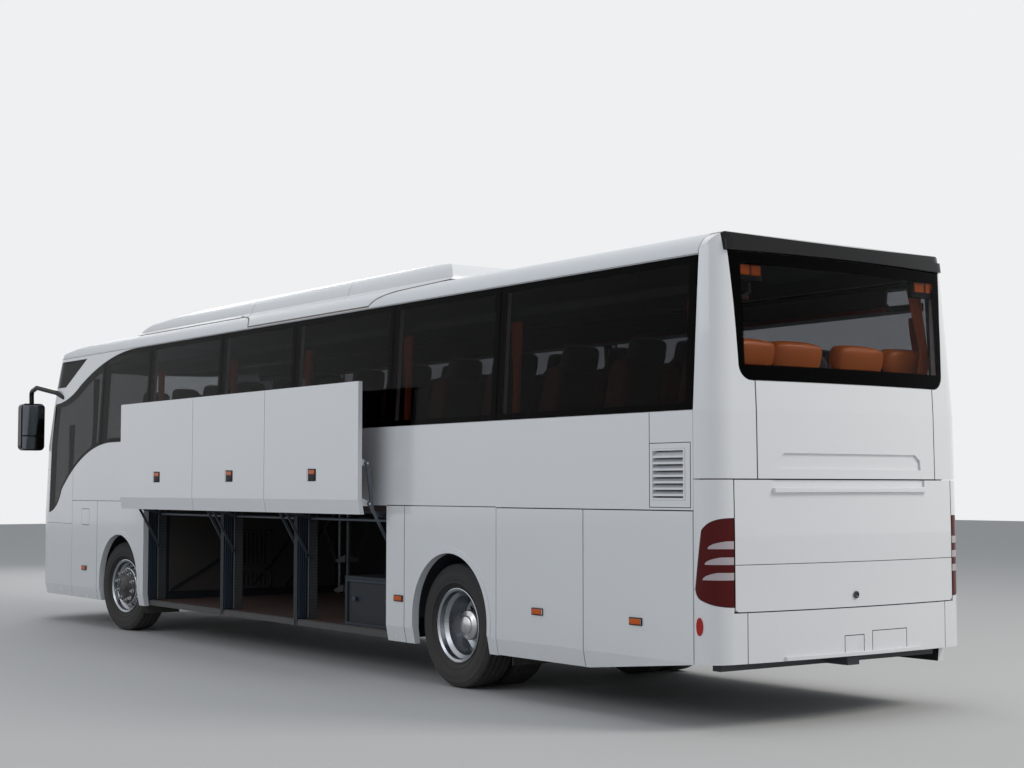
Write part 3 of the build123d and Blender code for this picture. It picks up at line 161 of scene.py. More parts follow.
# Body panels: steel and aluminium sheet, white two-pack paint under a clear coat. The paint
# keeps a fine orange peel, and road film gathers on it towards the skirt.
def effect_group(name, inputs, outputs):
    """An empty shader node group with float inputs and named outputs."""
    group = bpy.data.node_groups.new(name, "ShaderNodeTree")
    for title, value in inputs:
        socket = group.interface.new_socket(title, in_out="INPUT", socket_type="NodeSocketFloat")
        socket.default_value = value
    for title in outputs:
        group.interface.new_socket(title, in_out="OUTPUT", socket_type="NodeSocketFloat")
    return group, group.nodes.new("NodeGroupInput"), group.nodes.new("NodeGroupOutput")


def noise_node(tree, vector, scale, detail, roughness):
    """A noise texture's factor on a vector."""
    noise = tree.nodes.new("ShaderNodeTexNoise")
    for title, value in (("Vector", vector), ("Scale", scale), ("Detail", detail),
                         ("Roughness", roughness)):
        feed(tree, noise.inputs[title], value)
    return noise.outputs["Fac"]


# The film that spray and dust leave: heaviest at a low height, gone above a high one
road_film, film_in, film_out = effect_group(
    "road_film", (("Clean Height", 1.5), ("Amount", 0.5), ("Grain", 6.0)), ("Mask", "Grain"))
film_place = road_film.nodes.new("ShaderNodeTexCoord")
film_axes = road_film.nodes.new("ShaderNodeSeparateXYZ")
road_film.links.new(film_place.outputs["Object"], film_axes.inputs[0])
film_fall = math_node(road_film, "DIVIDE", film_axes.outputs["Z"], film_in.outputs["Clean Height"])
film_fall = math_node(road_film, "SUBTRACT", 1.0, film_fall, clamp=True)
film_fall = math_node(road_film, "POWER", film_fall, 1.6)
film_grain = noise_node(road_film, film_place.outputs["Object"], film_in.outputs["Grain"], 6.0,
                        0.65)
film_mask = math_node(road_film, "MULTIPLY", film_fall, film_grain)
film_mask = math_node(road_film, "MULTIPLY", film_mask, film_in.outputs["Amount"])
road_film.links.new(film_mask, film_out.inputs["Mask"])
road_film.links.new(film_grain, film_out.inputs["Grain"])

# Fine surface unevenness for bumps: Object coordinates, at a chosen scale
fine_grain, grain_in, grain_out = effect_group(
    "fine_grain", (("Scale", 200.0), ("Detail", 3.0), ("Roughness", 0.5)), ("Height",))
grain_place = fine_grain.nodes.new("ShaderNodeTexCoord")
grain_noise = noise_node(fine_grain, grain_place.outputs["Object"], grain_in.outputs["Scale"],
                         grain_in.outputs["Detail"], grain_in.outputs["Roughness"])
fine_grain.links.new(grain_noise, grain_out.inputs["Height"])


def place_group(tree, group, **values):
    """The group as a node in a material, with its own values."""
    used = tree.nodes.new("ShaderNodeGroup")
    used.node_tree = group
    for title, value in values.items():
        used.inputs[title.replace("_", " ")].default_value = value
    return used


def mix_colour(tree, factor, first, second):
    """A colour between two colours or sockets, by a factor socket."""
    mix = tree.nodes.new("ShaderNodeMix")
    mix.data_type = "RGBA"
    for socket, value in ((mix.inputs[0], factor), (mix.inputs[6], first), (mix.inputs[7], second)):
        feed(tree, socket, value)
    return mix.outputs[2]


def paint_over(material, mask, colour):
    """Give the material another colour where the mask is 1."""
    tree = material.node_tree
    base = tree.nodes["Principled BSDF"].inputs["Base Color"]
    tree.links.new(mix_colour(tree, mask, base.links[0].from_socket, colour), base)


def bump(tree, height, strength, distance):
    """Feed a height into the normal of the tree's surface."""
    raised = tree.nodes.new("ShaderNodeBump")
    raised.inputs["Strength"].default_value = strength
    raised.inputs["Distance"].default_value = distance
    tree.links.new(height, raised.inputs["Height"])
    tree.links.new(raised.outputs[0], tree.nodes["Principled BSDF"].inputs["Normal"])


def finish_material(name, colour, roughness, metallic=0.0, coat=0.0, film=0.35, film_height=1.3,
                    grain_scale=150.0, grain_depth=0.0002, specular=0.5):
    """A solid surface with road film, roughness that varies with it and a fine grain."""
    material, tree, surface = new_material(name, {"Metallic": metallic, "Coat Weight": coat,
                                                  "Coat Roughness": 0.06,
                                                  "Specular IOR Level": specular})
    dirt = place_group(tree, road_film, Clean_Height=film_height, Amount=film)
    filmed = mix_colour(tree, dirt.outputs["Mask"], colour, (0.20, 0.18, 0.16))
    tree.links.new(filmed, surface.inputs["Base Color"])
    worn = math_node(tree, "ADD", math_node(tree, "MULTIPLY", dirt.outputs["Mask"], 0.5), roughness)
    uneven = math_node(tree, "MULTIPLY", dirt.outputs["Grain"], 0.08)
    tree.links.new(math_node(tree, "ADD", worn, uneven, clamp=True), surface.inputs["Roughness"])
    grain = place_group(tree, fine_grain, Scale=grain_scale)
    bump(tree, grain.outputs["Height"], 0.25, grain_depth)
    return material


def dress(material, *names):
    """Give CAD nodes this material."""
    for name in names:
        node[name].data.materials.clear()
        node[name].data.materials.append(material)


def object_axes(tree, output="Object"):
    """The X, Y and Z sockets of the object's own coordinates, or of its normals."""
    place = tree.nodes.new("ShaderNodeTexCoord")
    axes = tree.nodes.new("ShaderNodeSeparateXYZ")
    tree.links.new(place.outputs[output], axes.inputs[0])
    return axes.outputs["X"], axes.outputs["Y"], axes.outputs["Z"]


def between(tree, value, low, high, soft=0.004):
    """1 between two values of a coordinate socket, 0 outside, with a narrow soft edge."""
    rise = tree.nodes.new("ShaderNodeMapRange")
    fall = tree.nodes.new("ShaderNodeMapRange")
    for step, start, end in ((rise, low - soft, low + soft), (fall, high + soft, high - soft)):
        step.clamp = True
        step.inputs["From Min"].default_value = start
        step.inputs["From Max"].default_value = end
        tree.links.new(value, step.inputs["Value"])
    return math_node(tree, "MULTIPLY", rise.outputs[0], fall.outputs[0])


body_white, roof_white = (0.80, 0.81, 0.82), (0.78, 0.79, 0.80)
orange_peel = {"grain_scale": 500.0, "grain_depth": 0.00005}
clear_coat = {"coat": 0.6, "film": 0.12, "film_height": 1.2, **orange_peel}


def panel_paint(name, inside):
    """White body paint; faces turned to the centreline get the inside colour, a painted shade."""
    material = finish_material(name, body_white, 0.20, **clear_coat)
    tree = material.node_tree
    outward = math_node(tree, "MULTIPLY", object_axes(tree)[1], object_axes(tree, "Normal")[1])
    paint_over(material, math_node(tree, "LESS_THAN", outward, -0.35), inside)
    return material


def paint_seam_shade(material, axis, rows):
    """Painted shade in the seams between panels: near-black lines. Each row has a low and a high value
    on the axis, a low and a high height, and the side that has the seam: 1 left, -1 right, 0 both."""
    tree = material.node_tree
    axes = object_axes(tree)
    seams = []
    for low, high, low_z, high_z, side in rows:
        seam = math_node(tree, "MULTIPLY", between(tree, axes["xyz".index(axis)], low, high, 0.0005),
                         between(tree, axes[2], low_z, high_z, 0.0005))
        if side:
            on_side = math_node(tree, "GREATER_THAN", math_node(tree, "MULTIPLY", axes[1], side), 0.0)
            seam = math_node(tree, "MULTIPLY", seam, on_side)
        seams.append(seam)
    # Painted shade: the seam lines are near black.
    paint_over(material, union(tree, seams), (0.045, 0.045, 0.048))


# Painted shade: faces of the walls, flaps and doors that turn inward are painted near black.
wall_paint = panel_paint("wall_paint", (0.030, 0.030, 0.034))
# Painted shade in the walls' seams and round the louvre grille.
paint_seam_shade(wall_paint, "x", (
    (2.880, 5.900, 1.4735, 1.4815, 0), (-3.880, -2.250, 1.4735, 1.4815, 0),
    (-2.5435, -2.5365, 0.300, 1.474, 1), (4.2095, 4.2165, 0.300, 1.474, 0),
    (-6.1585, -6.1515, 1.490, 1.939, 1), (-5.7335, -5.7265, 1.490, 2.150, 1),
    (-6.158, -5.727, 1.4895, 1.4955, 1), (-6.158, -5.727, 1.9335, 1.9395, 1),
    (-6.180, -4.984, 1.4735, 1.4815, -1), (-4.9875, -4.9805, 0.300, 1.474, -1)))
dress(wall_paint, "left_wall", "right_wall", "engine_side_flap", "rear_service_flap",
      "right_service_flap", "fuel_flap", "left_flap_front", "left_flap_middle", "left_flap_rear",
      "right_flap_front", "right_flap_rear", "front_door", "mid_door", "louvre_grille")
end_paint = finish_material("end_paint", body_white, 0.20, **clear_coat)
# Painted shade in the seams of the front and rear panels.
paint_seam_shade(end_paint, "y", (
    (0.901, 0.911, 1.690, 2.400, 0), (-0.911, -0.901, 1.690, 2.400, 0),
    (-1.200, 1.200, 1.1075, 1.1125, 0), (-1.0055, -0.9995, 0.300, 0.788, 0),
    (0.9995, 1.0055, 0.300, 0.788, 0), (-0.0675, -0.0615, 0.484, 0.600, 0),
    (0.1265, 0.1325, 0.484, 0.600, 0), (-0.067, 0.132, 0.5945, 0.6005, 0),
    (-0.5315, -0.5255, 0.484, 0.622, 0), (-0.1555, -0.1495, 0.484, 0.622, 0),
    (-0.531, -0.150, 0.6165, 0.6225, 0), (1.1010, 1.1090, 0.790, 1.690, 0),
    (-1.1090, -1.1010, 0.790, 1.690, 0)))
dress(end_paint, "front_panels", "rear_body", "rear_bumper", "engine_hatch")

# Roof: one white skin with a dark needled headlining under it, and the cooling unit's moulded
# fairing and two hatches on top. The fairing is moulded in three lengths, with thin dark joints.
roof_paint = finish_material("roof_paint", roof_white, 0.42, film=0.0, **orange_peel)
roof_tree = roof_paint.node_tree
ceiling = math_node(roof_tree, "LESS_THAN", object_axes(roof_tree, "Normal")[2], -0.2)
paint_over(roof_paint, ceiling, (0.05, 0.048, 0.047))
dress(roof_paint, "roof")
fairing_paint = finish_material("fairing_paint", roof_white, 0.30, coat=0.3, film=0.0,
                                grain_scale=400.0, grain_depth=0.0001)
fairing_tree = fairing_paint.node_tree
fairing_axes = object_axes(fairing_tree)
joints = union(fairing_tree, [between(fairing_tree, fairing_axes[0], x - 0.002, x + 0.002, 0.002)
                              for x in (0.810, -1.140)])
high_up = between(fairing_tree, fairing_axes[2], 3.300, 3.585)
paint_over(fairing_paint, math_node(fairing_tree, "MULTIPLY", joints, high_up), (0.10, 0.10, 0.10))
dress(fairing_paint, "roof_units")

# Underframe and running gear: welded steel rails, cast axles and an iron engine, painted and
# dusty from the road. The mud flaps are rubber sheets that hang behind the wheels.
frame_steel = finish_material("frame_steel", (0.035, 0.040, 0.050), 0.5, film=0.35, film_height=1.0)
dress(frame_steel, "underframe")
chassis_black = finish_material("chassis_black", (0.02, 0.02, 0.021), 0.5, film=0.7, film_height=1.2)
dress(chassis_black, "axles", "left_knuckle", "right_knuckle")
engine_iron = finish_material("engine_iron", (0.09, 0.09, 0.095), 0.55, metallic=0.3, film=0.7)
dress(engine_iron, "engine_block")
flap_rubber = finish_material("flap_rubber", (0.02, 0.02, 0.02), 0.7, film=0.8)
dress(flap_rubber, "mud_flaps")

# Mirrors and rear spoiler: plastic mouldings in gloss black paint, screwed to the front corners
# and to the roof's rear edge.
gloss_black = finish_material("gloss_black", (0.004, 0.004, 0.005), 0.08, film=0.0, specular=0.25,
                              **orange_peel)
dress(gloss_black, "mirrors", "rear_spoiler")


# Sealant round the fairing's foot: a tan bead that lies on the roof's shoulder, runs along the
# fairing's sides, dips to the top of the windows and rises again, the same on both sides.
# Shoulder: height and Y. Runs: start, the point that each curve is drawn towards, end, in X and Z.
roof_shoulder = ((3.240, 1.214), (3.280, 1.198), (3.320, 1.170), (3.350, 1.137), (3.370, 1.102),
                 (3.390, 1.054))
seal_runs = (((3.480, 3.382), (2.170, 3.379), (0.860, 3.374)),
             ((0.860, 3.374), (0.570, 3.368), (0.520, 3.246)),
             ((0.520, 3.246), (-0.655, 3.246), (-1.830, 3.246)),
             ((-1.830, 3.246), (-1.880, 3.330), (-2.200, 3.354)),
             ((-2.200, 3.354), (-2.520, 3.368), (-2.840, 3.382)))
seal_steps, seal_corners, seal_radius = 12, 6, 0.006


def fit_piece(name, mesh_maker, material, body, smooth=False):
    """Make a piece, give it its finish, and mount it on a body."""
    piece = new_piece(name, mesh_maker)
    piece.data.materials.append(material)
    for polygon in piece.data.polygons:
        polygon.use_smooth = smooth
    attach(piece, body)
    return piece


def read_off(rows, height):
    """The value at a height, on straight lines between rows of height and value."""
    for (low_z, low_value), (high_z, high_value) in zip(rows, rows[1:]):
        if height <= high_z:
            return low_value + (high_value - low_value) * (height - low_z) / (high_z - low_z)
    return rows[-1][1]


def fairing_seal_mesh(shape):
    path = []
    for run in seal_runs:
        for step in range(seal_steps):
            t = step / seal_steps
            x, z = ((1 - t) ** 2 * a + 2 * t * (1 - t) * b + t ** 2 * c for a, b, c in zip(*run))
            path.append(Vector((x, read_off(roof_shoulder, z), z)))
    for side in (1, -1):
        rings = []
        for number, point in enumerate(path):
            along = (path[min(number + 1, len(path) - 1)] - path[max(number - 1, 0)]).normalized()
            out = Vector((0.0, 0.8, 0.6))
            out = (out - along * out.dot(along)).normalized()
            wide = along.cross(out)
            turns = [2 * math.pi * corner / seal_corners for corner in range(seal_corners)]
            ring = [point + seal_radius * (math.cos(turn) * out + 1.5 * math.sin(turn) * wide)
                    for turn in turns]
            rings.append([shape.verts.new((p.x, side * p.y, p.z)) for p in ring])
        for first, second in zip(rings, rings[1:]):
            for corner in range(seal_corners):
                following = (corner + 1) % seal_corners
                shape.faces.new((first[corner], first[following], second[following], second[corner]))
        for end_ring in (rings[0], rings[-1]):
            shape.faces.new(end_ring)
    bmesh.ops.recalc_face_normals(shape, faces=shape.faces)


seal_tan = finish_material("seal_tan", (0.17, 0.14, 0.10), 0.6, film=0.2)
fit_piece("fairing_seal", fairing_seal_mesh, seal_tan, "body", smooth=True)


# Luggage bay: boards and posts in dark blue-grey paint round a floor with a reddish ribbed mat,
# edged by an aluminium sill; the front bulkhead has a grey-brown liner with two grilles.
def rounded_block(shape, low, high, radius=0.004, steps=2):
    """A block between two corners, with its edges rounded over; gives its vertices."""
    earlier = set(shape.verts)
    corners = bmesh.ops.create_cube(shape, size=1.0)["verts"]
    bmesh.ops.scale(shape, vec=[b - a for a, b in zip(low, high)], verts=corners)
    bmesh.ops.translate(shape, vec=[(a + b) / 2 for a, b in zip(low, high)], verts=corners)
    edges = list({edge for corner in corners for edge in corner.link_edges})
    bmesh.ops.bevel(shape, geom=edges, offset=radius, segments=steps, affect="EDGES", profile=0.5,
                    material=-1)
    return [vertex for vertex in shape.verts if vertex not in earlier]


def lay(shape, verts, turn, axis, place):
    """Turn vertices that stand round the origin about an axis, then move them to their place."""
    bmesh.ops.rotate(shape, cent=(0, 0, 0), matrix=Matrix.Rotation(turn, 3, axis), verts=verts)
    bmesh.ops.translate(shape, vec=place, verts=verts)


def fit_blocks(name, blocks, material, body, side=1, move=(0, 0, 0)):
    """A piece of rounded blocks, each with its low and high corner, radius and steps. They are
    moved as one, and mirrored to the right where the side is -1."""
    def mesh(shape):
        for block in blocks:
            rounded_block(shape, *block)
        bmesh.ops.translate(shape, vec=move, verts=shape.verts)
        bmesh.ops.scale(shape, vec=(1, side, 1), verts=shape.verts)
        bmesh.ops.recalc_face_normals(shape, faces=shape.faces)
    return fit_piece(name, mesh, material, body)


def ribs(tree, axis, rate):
    """The height of rounded ribs along an axis, 0 between them and 1 on top; a rib is pi / rate."""
    wave = math_node(tree, "MULTIPLY", object_axes(tree)["xyz".index(axis)], rate)
    return math_node(tree, "ABSOLUTE", math_node(tree, "SINE", wave))


def ribbed_material(name, colour, axis, pitch, depth, roughness=0.5):
    """A sheet pressed or moulded into fine parallel ribs, with painted shade in the groove between
    them.
    """
    material = finish_material(name, colour, roughness, film=0.3)
    tree = material.node_tree
    ridge = ribs(tree, axis, 2 * math.pi / pitch)
    # Painted shade: the grooves between the ribs are a third as bright.
    groove = math_node(tree, "LESS_THAN", ridge, 0.22)
    paint_over(material, groove, tuple(0.35 * part for part in colour))
    bump(tree, ridge, 0.6, depth)
    return material


bay_board = finish_material("bay_board", (0.014, 0.019, 0.026), 0.5, film=0.12, film_height=1.5,
                            specular=0.25)
dress(bay_board, "luggage_bay")
bay_low_x, bay_high_x, bay_floor_z = -2.250, 2.880, 0.380
post_places = (1.040, -0.520)
strip_places = post_places + (bay_high_x + 0.035,)
bay_mat = ribbed_material("bay_mat", (0.060, 0.026, 0.020), "x", 0.024, 0.0015, roughness=0.7)
fit_blocks("bay_mat", [((bay_low_x + 0.005, -1.165, bay_floor_z - 0.004),
                        (bay_high_x - 0.005, 1.150, bay_floor_z + 0.006), 0.002)],
           bay_mat, "body")

worn_sill = finish_material("worn_sill", (0.055, 0.055, 0.058), 0.45, metallic=0.3, film=0.3)
sill_ends = (bay_low_x + 0.010, *sorted(post_places), bay_high_x - 0.010)
sill_blocks = []
for start, end in zip(sill_ends, sill_ends[1:]):
    start, end = start + 0.036, end - 0.036
    sill_blocks.append(((start, 1.150, bay_floor_z), (end, 1.208, bay_floor_z + 0.010), 0.003))
    sill_blocks.append(((start, 1.198, bay_floor_z - 0.050), (end, 1.208, bay_floor_z), 0.003))
fit_blocks("bay_sill", sill_blocks, worn_sill, "body")

post_blue = finish_material("post_blue", (0.026, 0.042, 0.066), 0.45, film=0.1, film_height=1.5,
                            specular=0.3)
fit_blocks("post_ribs", [((x - 0.043, y - 0.007, 0.400), (x - 0.033, y + 0.007, 1.380), 0.003)
                         for x in strip_places for y in (1.128, 1.150, 1.172, 1.194)],
           post_blue, "body")
pale_rib = ribbed_material("pale_rib", (0.075, 0.080, 0.085), "z", 0.060, 0.002)
fit_blocks("ribbed_strips", [((x - 0.041, 1.000, 0.392), (x - 0.031, 1.094, 1.395), 0.003)
                             for x in strip_places], pale_rib, "body")
bright_sill = finish_material("bright_sill", (0.20, 0.21, 0.22), 0.40, metallic=0.6, film=0.3)
fit_blocks("strip_edges", [((x - 0.048, 1.092, 0.392), (x - 0.030, 1.104, 1.395), 0.003)
                           for x in strip_places], bright_sill, "body")

# Each grille is a frame round seven upright bars before a dark sheet, a painted shade behind the bars
liner_board = finish_material("liner_board", (0.048, 0.042, 0.038), 0.7, film=0.3, film_height=1.6,
                              grain_scale=260.0, grain_depth=0.001)
liner_blocks = [((bay_high_x - 0.008, -1.170, 0.470), (bay_high_x - 0.001, 0.960, 1.390), 0.002)]
bar_blocks, grille_shade_blocks = [], []
for low_z, high_z in ((0.720, 1.140), (0.470, 0.670)):
    frame_x = (bay_high_x - 0.022, bay_high_x - 0.006)
    liner_blocks += [((frame_x[0], y, low_z), (frame_x[1], y + 0.030, high_z), 0.004)
                     for y in (-0.315, 0.050)]
    liner_blocks += [((frame_x[0], -0.315, z), (frame_x[1], 0.080, z + 0.030), 0.004)
                     for z in (low_z, high_z - 0.030)]
    for y in [-0.275 + 0.053 * step for step in range(7)]:
        bar_blocks.append(((bay_high_x - 0.019, y, low_z + 0.025),
                           (bay_high_x - 0.011, y + 0.020, high_z - 0.025), 0.003))
    grille_shade_blocks.append(((bay_high_x - 0.011, -0.295, low_z + 0.020),
                           (bay_high_x - 0.007, 0.060, high_z - 0.020), 0.001))
fit_blocks("bay_liner", liner_blocks, liner_board, "body")

# The bulkhead's braces: Y and height of each one's two ends
bay_braces = ((0.949, 0.485, 0.300, 0.840), (-0.040, 0.471, -0.347, 0.783),
              (-0.347, 0.783, -0.700, 1.240), (-0.500, 0.480, -1.100, 1.300))


def bay_brace_mesh(shape):
    for y1, z1, y2, z2 in bay_braces:
        reach = math.hypot(y2 - y1, z2 - z1)
        brace = rounded_block(shape, (-0.012, -reach / 2, -0.016), (0.0, reach / 2, 0.016), 0.003)
        lay(shape, brace, math.atan2(z2 - z1, y2 - y1), "X",
            (bay_high_x - 0.008, (y1 + y2) / 2, (z1 + z2) / 2))


fit_piece("bay_braces", bay_brace_mesh, bay_board, "body")
fit_blocks("grille_bars", bar_blocks, liner_board, "body")
# The black sheet behind each grille's bars is a painted shade.
fit_blocks("grille_shade_sheet", grille_shade_blocks, chassis_black, "body")
locker_blocks = [((-2.128, 1.066, 0.384), (-1.217, 1.084, 0.404), 0.003),
                 ((-2.090, 1.066, 0.775), (-1.255, 1.082, 0.793), 0.003)]
locker_blocks += [((x - 0.030, 1.074, 0.600), (x + 0.030, 1.090, 0.640), 0.005)
                  for x in (-1.960, -1.385)]
fit_blocks("locker_trim", locker_blocks, post_blue, "body")

# Flap linkage and flap fittings: flat steel arms and links on pins, a rubber seal round each flap's
# inner edge, and a push latch, a black pressed plate with an orange reflector in it.
arm_steel = finish_material("arm_steel", (0.14, 0.16, 0.19), 0.38, metallic=0.7, film=0.3)
dress(arm_steel, *[name for name in node if name.endswith("_arms") or name.endswith("_links")])
latch_black = finish_material("latch_black", (0.006, 0.006, 0.007), 0.45, film=0.0,
                              grain_scale=600.0, specular=0.25)


def lens_material(name, colour, rib_axis, rib_scale, coat):
    """A moulded lens with fine ribs inside."""
    material, tree, surface = new_material(name, {"Roughness": 0.16, "Specular IOR Level": 0.2,
                                                  "Coat Weight": coat})
    fine_ribs = ribs(tree, rib_axis, rib_scale * math.pi)
    shade = math_node(tree, "MULTIPLY", fine_ribs, 0.45)
    tree.links.new(mix_colour(tree, shade, colour, tuple(0.3 * part for part in colour)),
                   surface.inputs["Base Color"])
    bump(tree, fine_ribs, 0.3, 0.0008)
    return material


reflector_orange = lens_material("reflector_orange", (0.78, 0.13, 0.008), "x", 190.0, 0.2)
# Each flap's low and high X and side. The blocks are set out on a shut left flap, so those on the
# left flaps are moved out and up, to where the linkage holds the raised flap.
flap_places = {"left_flap_front": (1.044, 2.872, 1), "left_flap_middle": (-0.516, 1.036, 1),
               "left_flap_rear": (-2.242, -0.524, 1), "right_flap_front": (0.764, 2.872, -1),
               "right_flap_rear": (-1.332, 0.756, -1)}
for flap_name, (low, high, side) in flap_places.items():
    raised = (0, 0.285, 1.075) if side > 0 else (0, 0, 0)
    middle = (low + high) / 2 - 0.060
    fit_blocks(f"{flap_name}_latch",
               [((middle - 0.070, 1.2625, 0.611), (middle + 0.070, 1.2815, 0.724), 0.008, 3),
                ((middle - 0.050, 1.2790, 0.620), (middle + 0.050, 1.2850, 0.662), 0.004, 2)],
               latch_black, flap_name, side, raised)
    fit_blocks(f"{flap_name}_reflector",
               [((middle - 0.052, 1.2760, 0.674), (middle + 0.052, 1.2845, 0.712), 0.005, 3)],
               reflector_orange, flap_name, side, raised)
    seal_blocks = [((x, 1.2265, 0.470), (x + 0.014, 1.2365, 1.452), 0.004)
                   for x in (low + 0.012, high - 0.026)]
    seal_blocks += [((low + 0.012, 1.2265, z), (high - 0.012, 1.2365, z + 0.014), 0.004)
                    for z in (0.462, 1.440)]
    fit_blocks(f"{flap_name}_seal", seal_blocks, flap_rubber, flap_name, side, raised)


# Side marker lamps: orange moulded lenses, pushed into black rubber bezels that sit in the walls
# and in the service flaps.
side_markers = ((4.584, 1, 0.678, "body"), (-2.456, 1, 0.690, "body"), (-2.456, -1, 0.690, "body"),
                (4.330, -1, 0.678, "body"), (-4.430, 1, 0.693, "rear_service_flap"),
                (-5.580, 1, 0.693, "engine_side_flap"), (-4.430, -1, 0.693, "right_service_flap"))
for number, (x, side, z, body) in enumerate(side_markers):
    fit_blocks(f"side_marker_{number}",
               [((x - 0.062, 1.2765, z - 0.0215), (x + 0.062, 1.2915, z + 0.0215), 0.007, 3)],
               reflector_orange, body, side)
    fit_blocks(f"side_marker_bezel_{number}",
               [((x - 0.068, 1.2740, z - 0.0275), (x + 0.068, 1.2890, z + 0.0275), 0.005, 2)],
               latch_black, body, side)


# Louvre grille's painted shade: a thin dark sheet close behind the blades, fixed to the wall's inner
# side, so that the slots look deep.
fit_blocks("louvre_shade_sheet", [((-6.118, 1.2235, 1.508), (-5.772, 1.2255, 1.842), 0.0008, 1)],
           chassis_black, "body")


# Window glass: bonded panes, dark grey tint, with a black printed band along their edges and
# over each pillar that hides the adhesive. The print is on the glass, so it is a colour here.
def glass_material(name, tint, printed_bands=(), cab=None):
    """Tinted glass that lets tinted lamp light through; printed bands are black, each an axis with
    a low and a high value, and one with a third value ends at that X. The cab is the X where the
    panes beside the driver start, and their deeper tint."""
    material, tree, surface = new_material(name, {"Roughness": 0.015, "Transmission Weight": 1.0,
                                                  "IOR": 1.10})
    axes = object_axes(tree)
    bands = []
    for letter, low, high, *reach in printed_bands:
        band = between(tree, axes["xyz".index(letter)], low, high)
        if reach:
            band = math_node(tree, "MULTIPLY", band, math_node(tree, "LESS_THAN", axes[0], reach[0]))
        bands.append(band)
    if cab:
        tint = mix_colour(tree, math_node(tree, "GREATER_THAN", axes[0], cab[0]), tint, cab[1])
    if bands:
        tint = mix_colour(tree, union(tree, bands), tint, (0.002, 0.002, 0.002))
    shade = tree.nodes.new("ShaderNodeBsdfTransparent")
    feed(tree, surface.inputs["Base Color"], tint)
    feed(tree, shade.inputs["Color"], tint)
    shadow_ray = tree.nodes.new("ShaderNodeLightPath").outputs["Is Shadow Ray"]
    blend_shaders(tree, shadow_ray, surface, shade, "Material Output")
    return material


window_pillars = (-3.880, -2.287, -0.520, 1.050, 2.830, 4.150)
side_bands = [("x", place - 0.075, place + 0.075) for place in window_pillars]
side_bands += [("x", -6.30, -6.10), ("z", 2.10, 2.205, 3.9), ("z", 3.165, 3.30)]
side_tint = glass_material("side_tint", (0.215, 0.22, 0.23), side_bands,
                           (2.83, (0.085, 0.087, 0.09)))
dress(side_tint, "side_glass")
door_tint = glass_material("door_tint", (0.42, 0.44, 0.44))
dress(door_tint, "front_door_glass", "mid_door_glass")
front_tint = glass_material("front_tint", (0.52, 0.55, 0.55), [("z", 1.2, 1.36), ("z", 3.12, 3.3)])
dress(front_tint, "windscreen")
rear_bands = [("z", 2.3, 2.465), ("z", 3.16, 3.3), ("y", 0.985, 1.2), ("y", -1.2, -0.985)]
rear_tint = glass_material("rear_tint", (0.45, 0.46, 0.48), rear_bands)
dress(rear_tint, "rear_window")
lamp_glass = glass_material("lamp_glass", (0.93, 0.94, 0.95))
dress(lamp_glass, "headlamps")

# Tail lamps: one dark red lens a side that wraps round the corner, with three clear strips of
# lenses over its rear face, pointed at their outer ends; the ovals below them are red reflectors.
tail_red = lens_material("tail_red", (0.110, 0.0015, 0.002), "z", 160.0, 0.0)
tail_tree = tail_red.node_tree
tail_axes = object_axes(tail_tree)
strips = []
for low, high, tip_x in ((1.010, 1.060, -6.262), (1.113, 1.163, -6.278), (1.218, 1.270, -6.298)):
    inward = math_node(tail_tree, "SUBTRACT", tip_x, tail_axes[0])
    opening = math_node(tail_tree, "DIVIDE", inward, 0.090, clamp=True)
    opening = math_node(tail_tree, "POWER", opening, 0.45)
    opening = math_node(tail_tree, "MULTIPLY", opening, high - low)
    rise = math_node(tail_tree, "SUBTRACT", tail_axes[2], low)
    strips.append(math_node(tail_tree, "MULTIPLY", math_node(tail_tree, "GREATER_THAN", rise, 0.0),
                            math_node(tail_tree, "LESS_THAN", rise, opening)))
paint_over(tail_red, union(tail_tree, strips), (0.50, 0.44, 0.46))
low_down = math_node(tail_tree, "LESS_THAN", tail_axes[2], 0.800)
paint_over(tail_red, low_down, (0.42, 0.018, 0.010))
dress(tail_red, "tail_and_side_lamps")


# Cabin: dark needled deck covering, moulded racks with a reddish strip along their lower inner
# edge, and a soft-touch dashboard.
deck_cover = finish_material("deck_cover", (0.045, 0.026, 0.023), 0.85, film=0.0, grain_scale=700.0,
                             grain_depth=0.002)
dress(deck_cover, "cabin_floor")
rack_moulding = finish_material("rack_moulding", (0.045, 0.043, 0.043), 0.5, film=0.0,
                                grain_scale=500.0)
dress(rack_moulding, "overhead_racks")
dash_moulding = finish_material("dash_moulding", (0.03, 0.03, 0.033), 0.6, film=0.0,
                                grain_scale=900.0)
dress(dash_moulding, "driver_station")
rack_red = finish_material("rack_red", (0.16, 0.022, 0.012), 0.45, film=0.0)
rack_low, rack_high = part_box("overhead_racks")


def rack_strips_mesh(shape):
    for side in (1, -1):
        strip = rounded_block(shape, (rack_low[0] + 0.02, 0.690, rack_low[2] - 0.004),
                              (rack_high[0] - 0.02, 0.735, rack_low[2] + 0.030), 0.008)
        bmesh.ops.scale(shape, vec=(1, side, 1), verts=strip)
    bmesh.ops.recalc_face_normals(shape, faces=shape.faces)


fit_piece("rack_strips", rack_strips_mesh, rack_red, "body")


# High stop lamps: two dark housings behind the rear window's upper corners, each with two
# orange-red lenses in a row.
housing_blocks, lens_blocks = [], []
for low_y, high_y in ((0.760, 0.990), (-1.050, -0.790)):
    housing_blocks.append(((-6.330, low_y, 3.045), (-6.280, high_y, 3.195), 0.010, 3))
    width = (high_y - low_y - 0.050) / 2
    for y in (low_y + 0.018, low_y + 0.032 + width):
        lens_blocks.append(((-6.337, y, 3.085), (-6.325, y + width, 3.160), 0.006, 3))
fit_blocks("high_lamp_housings", housing_blocks, latch_black, "body")
fit_blocks("high_lamp_lenses", lens_blocks, reflector_orange, "body")


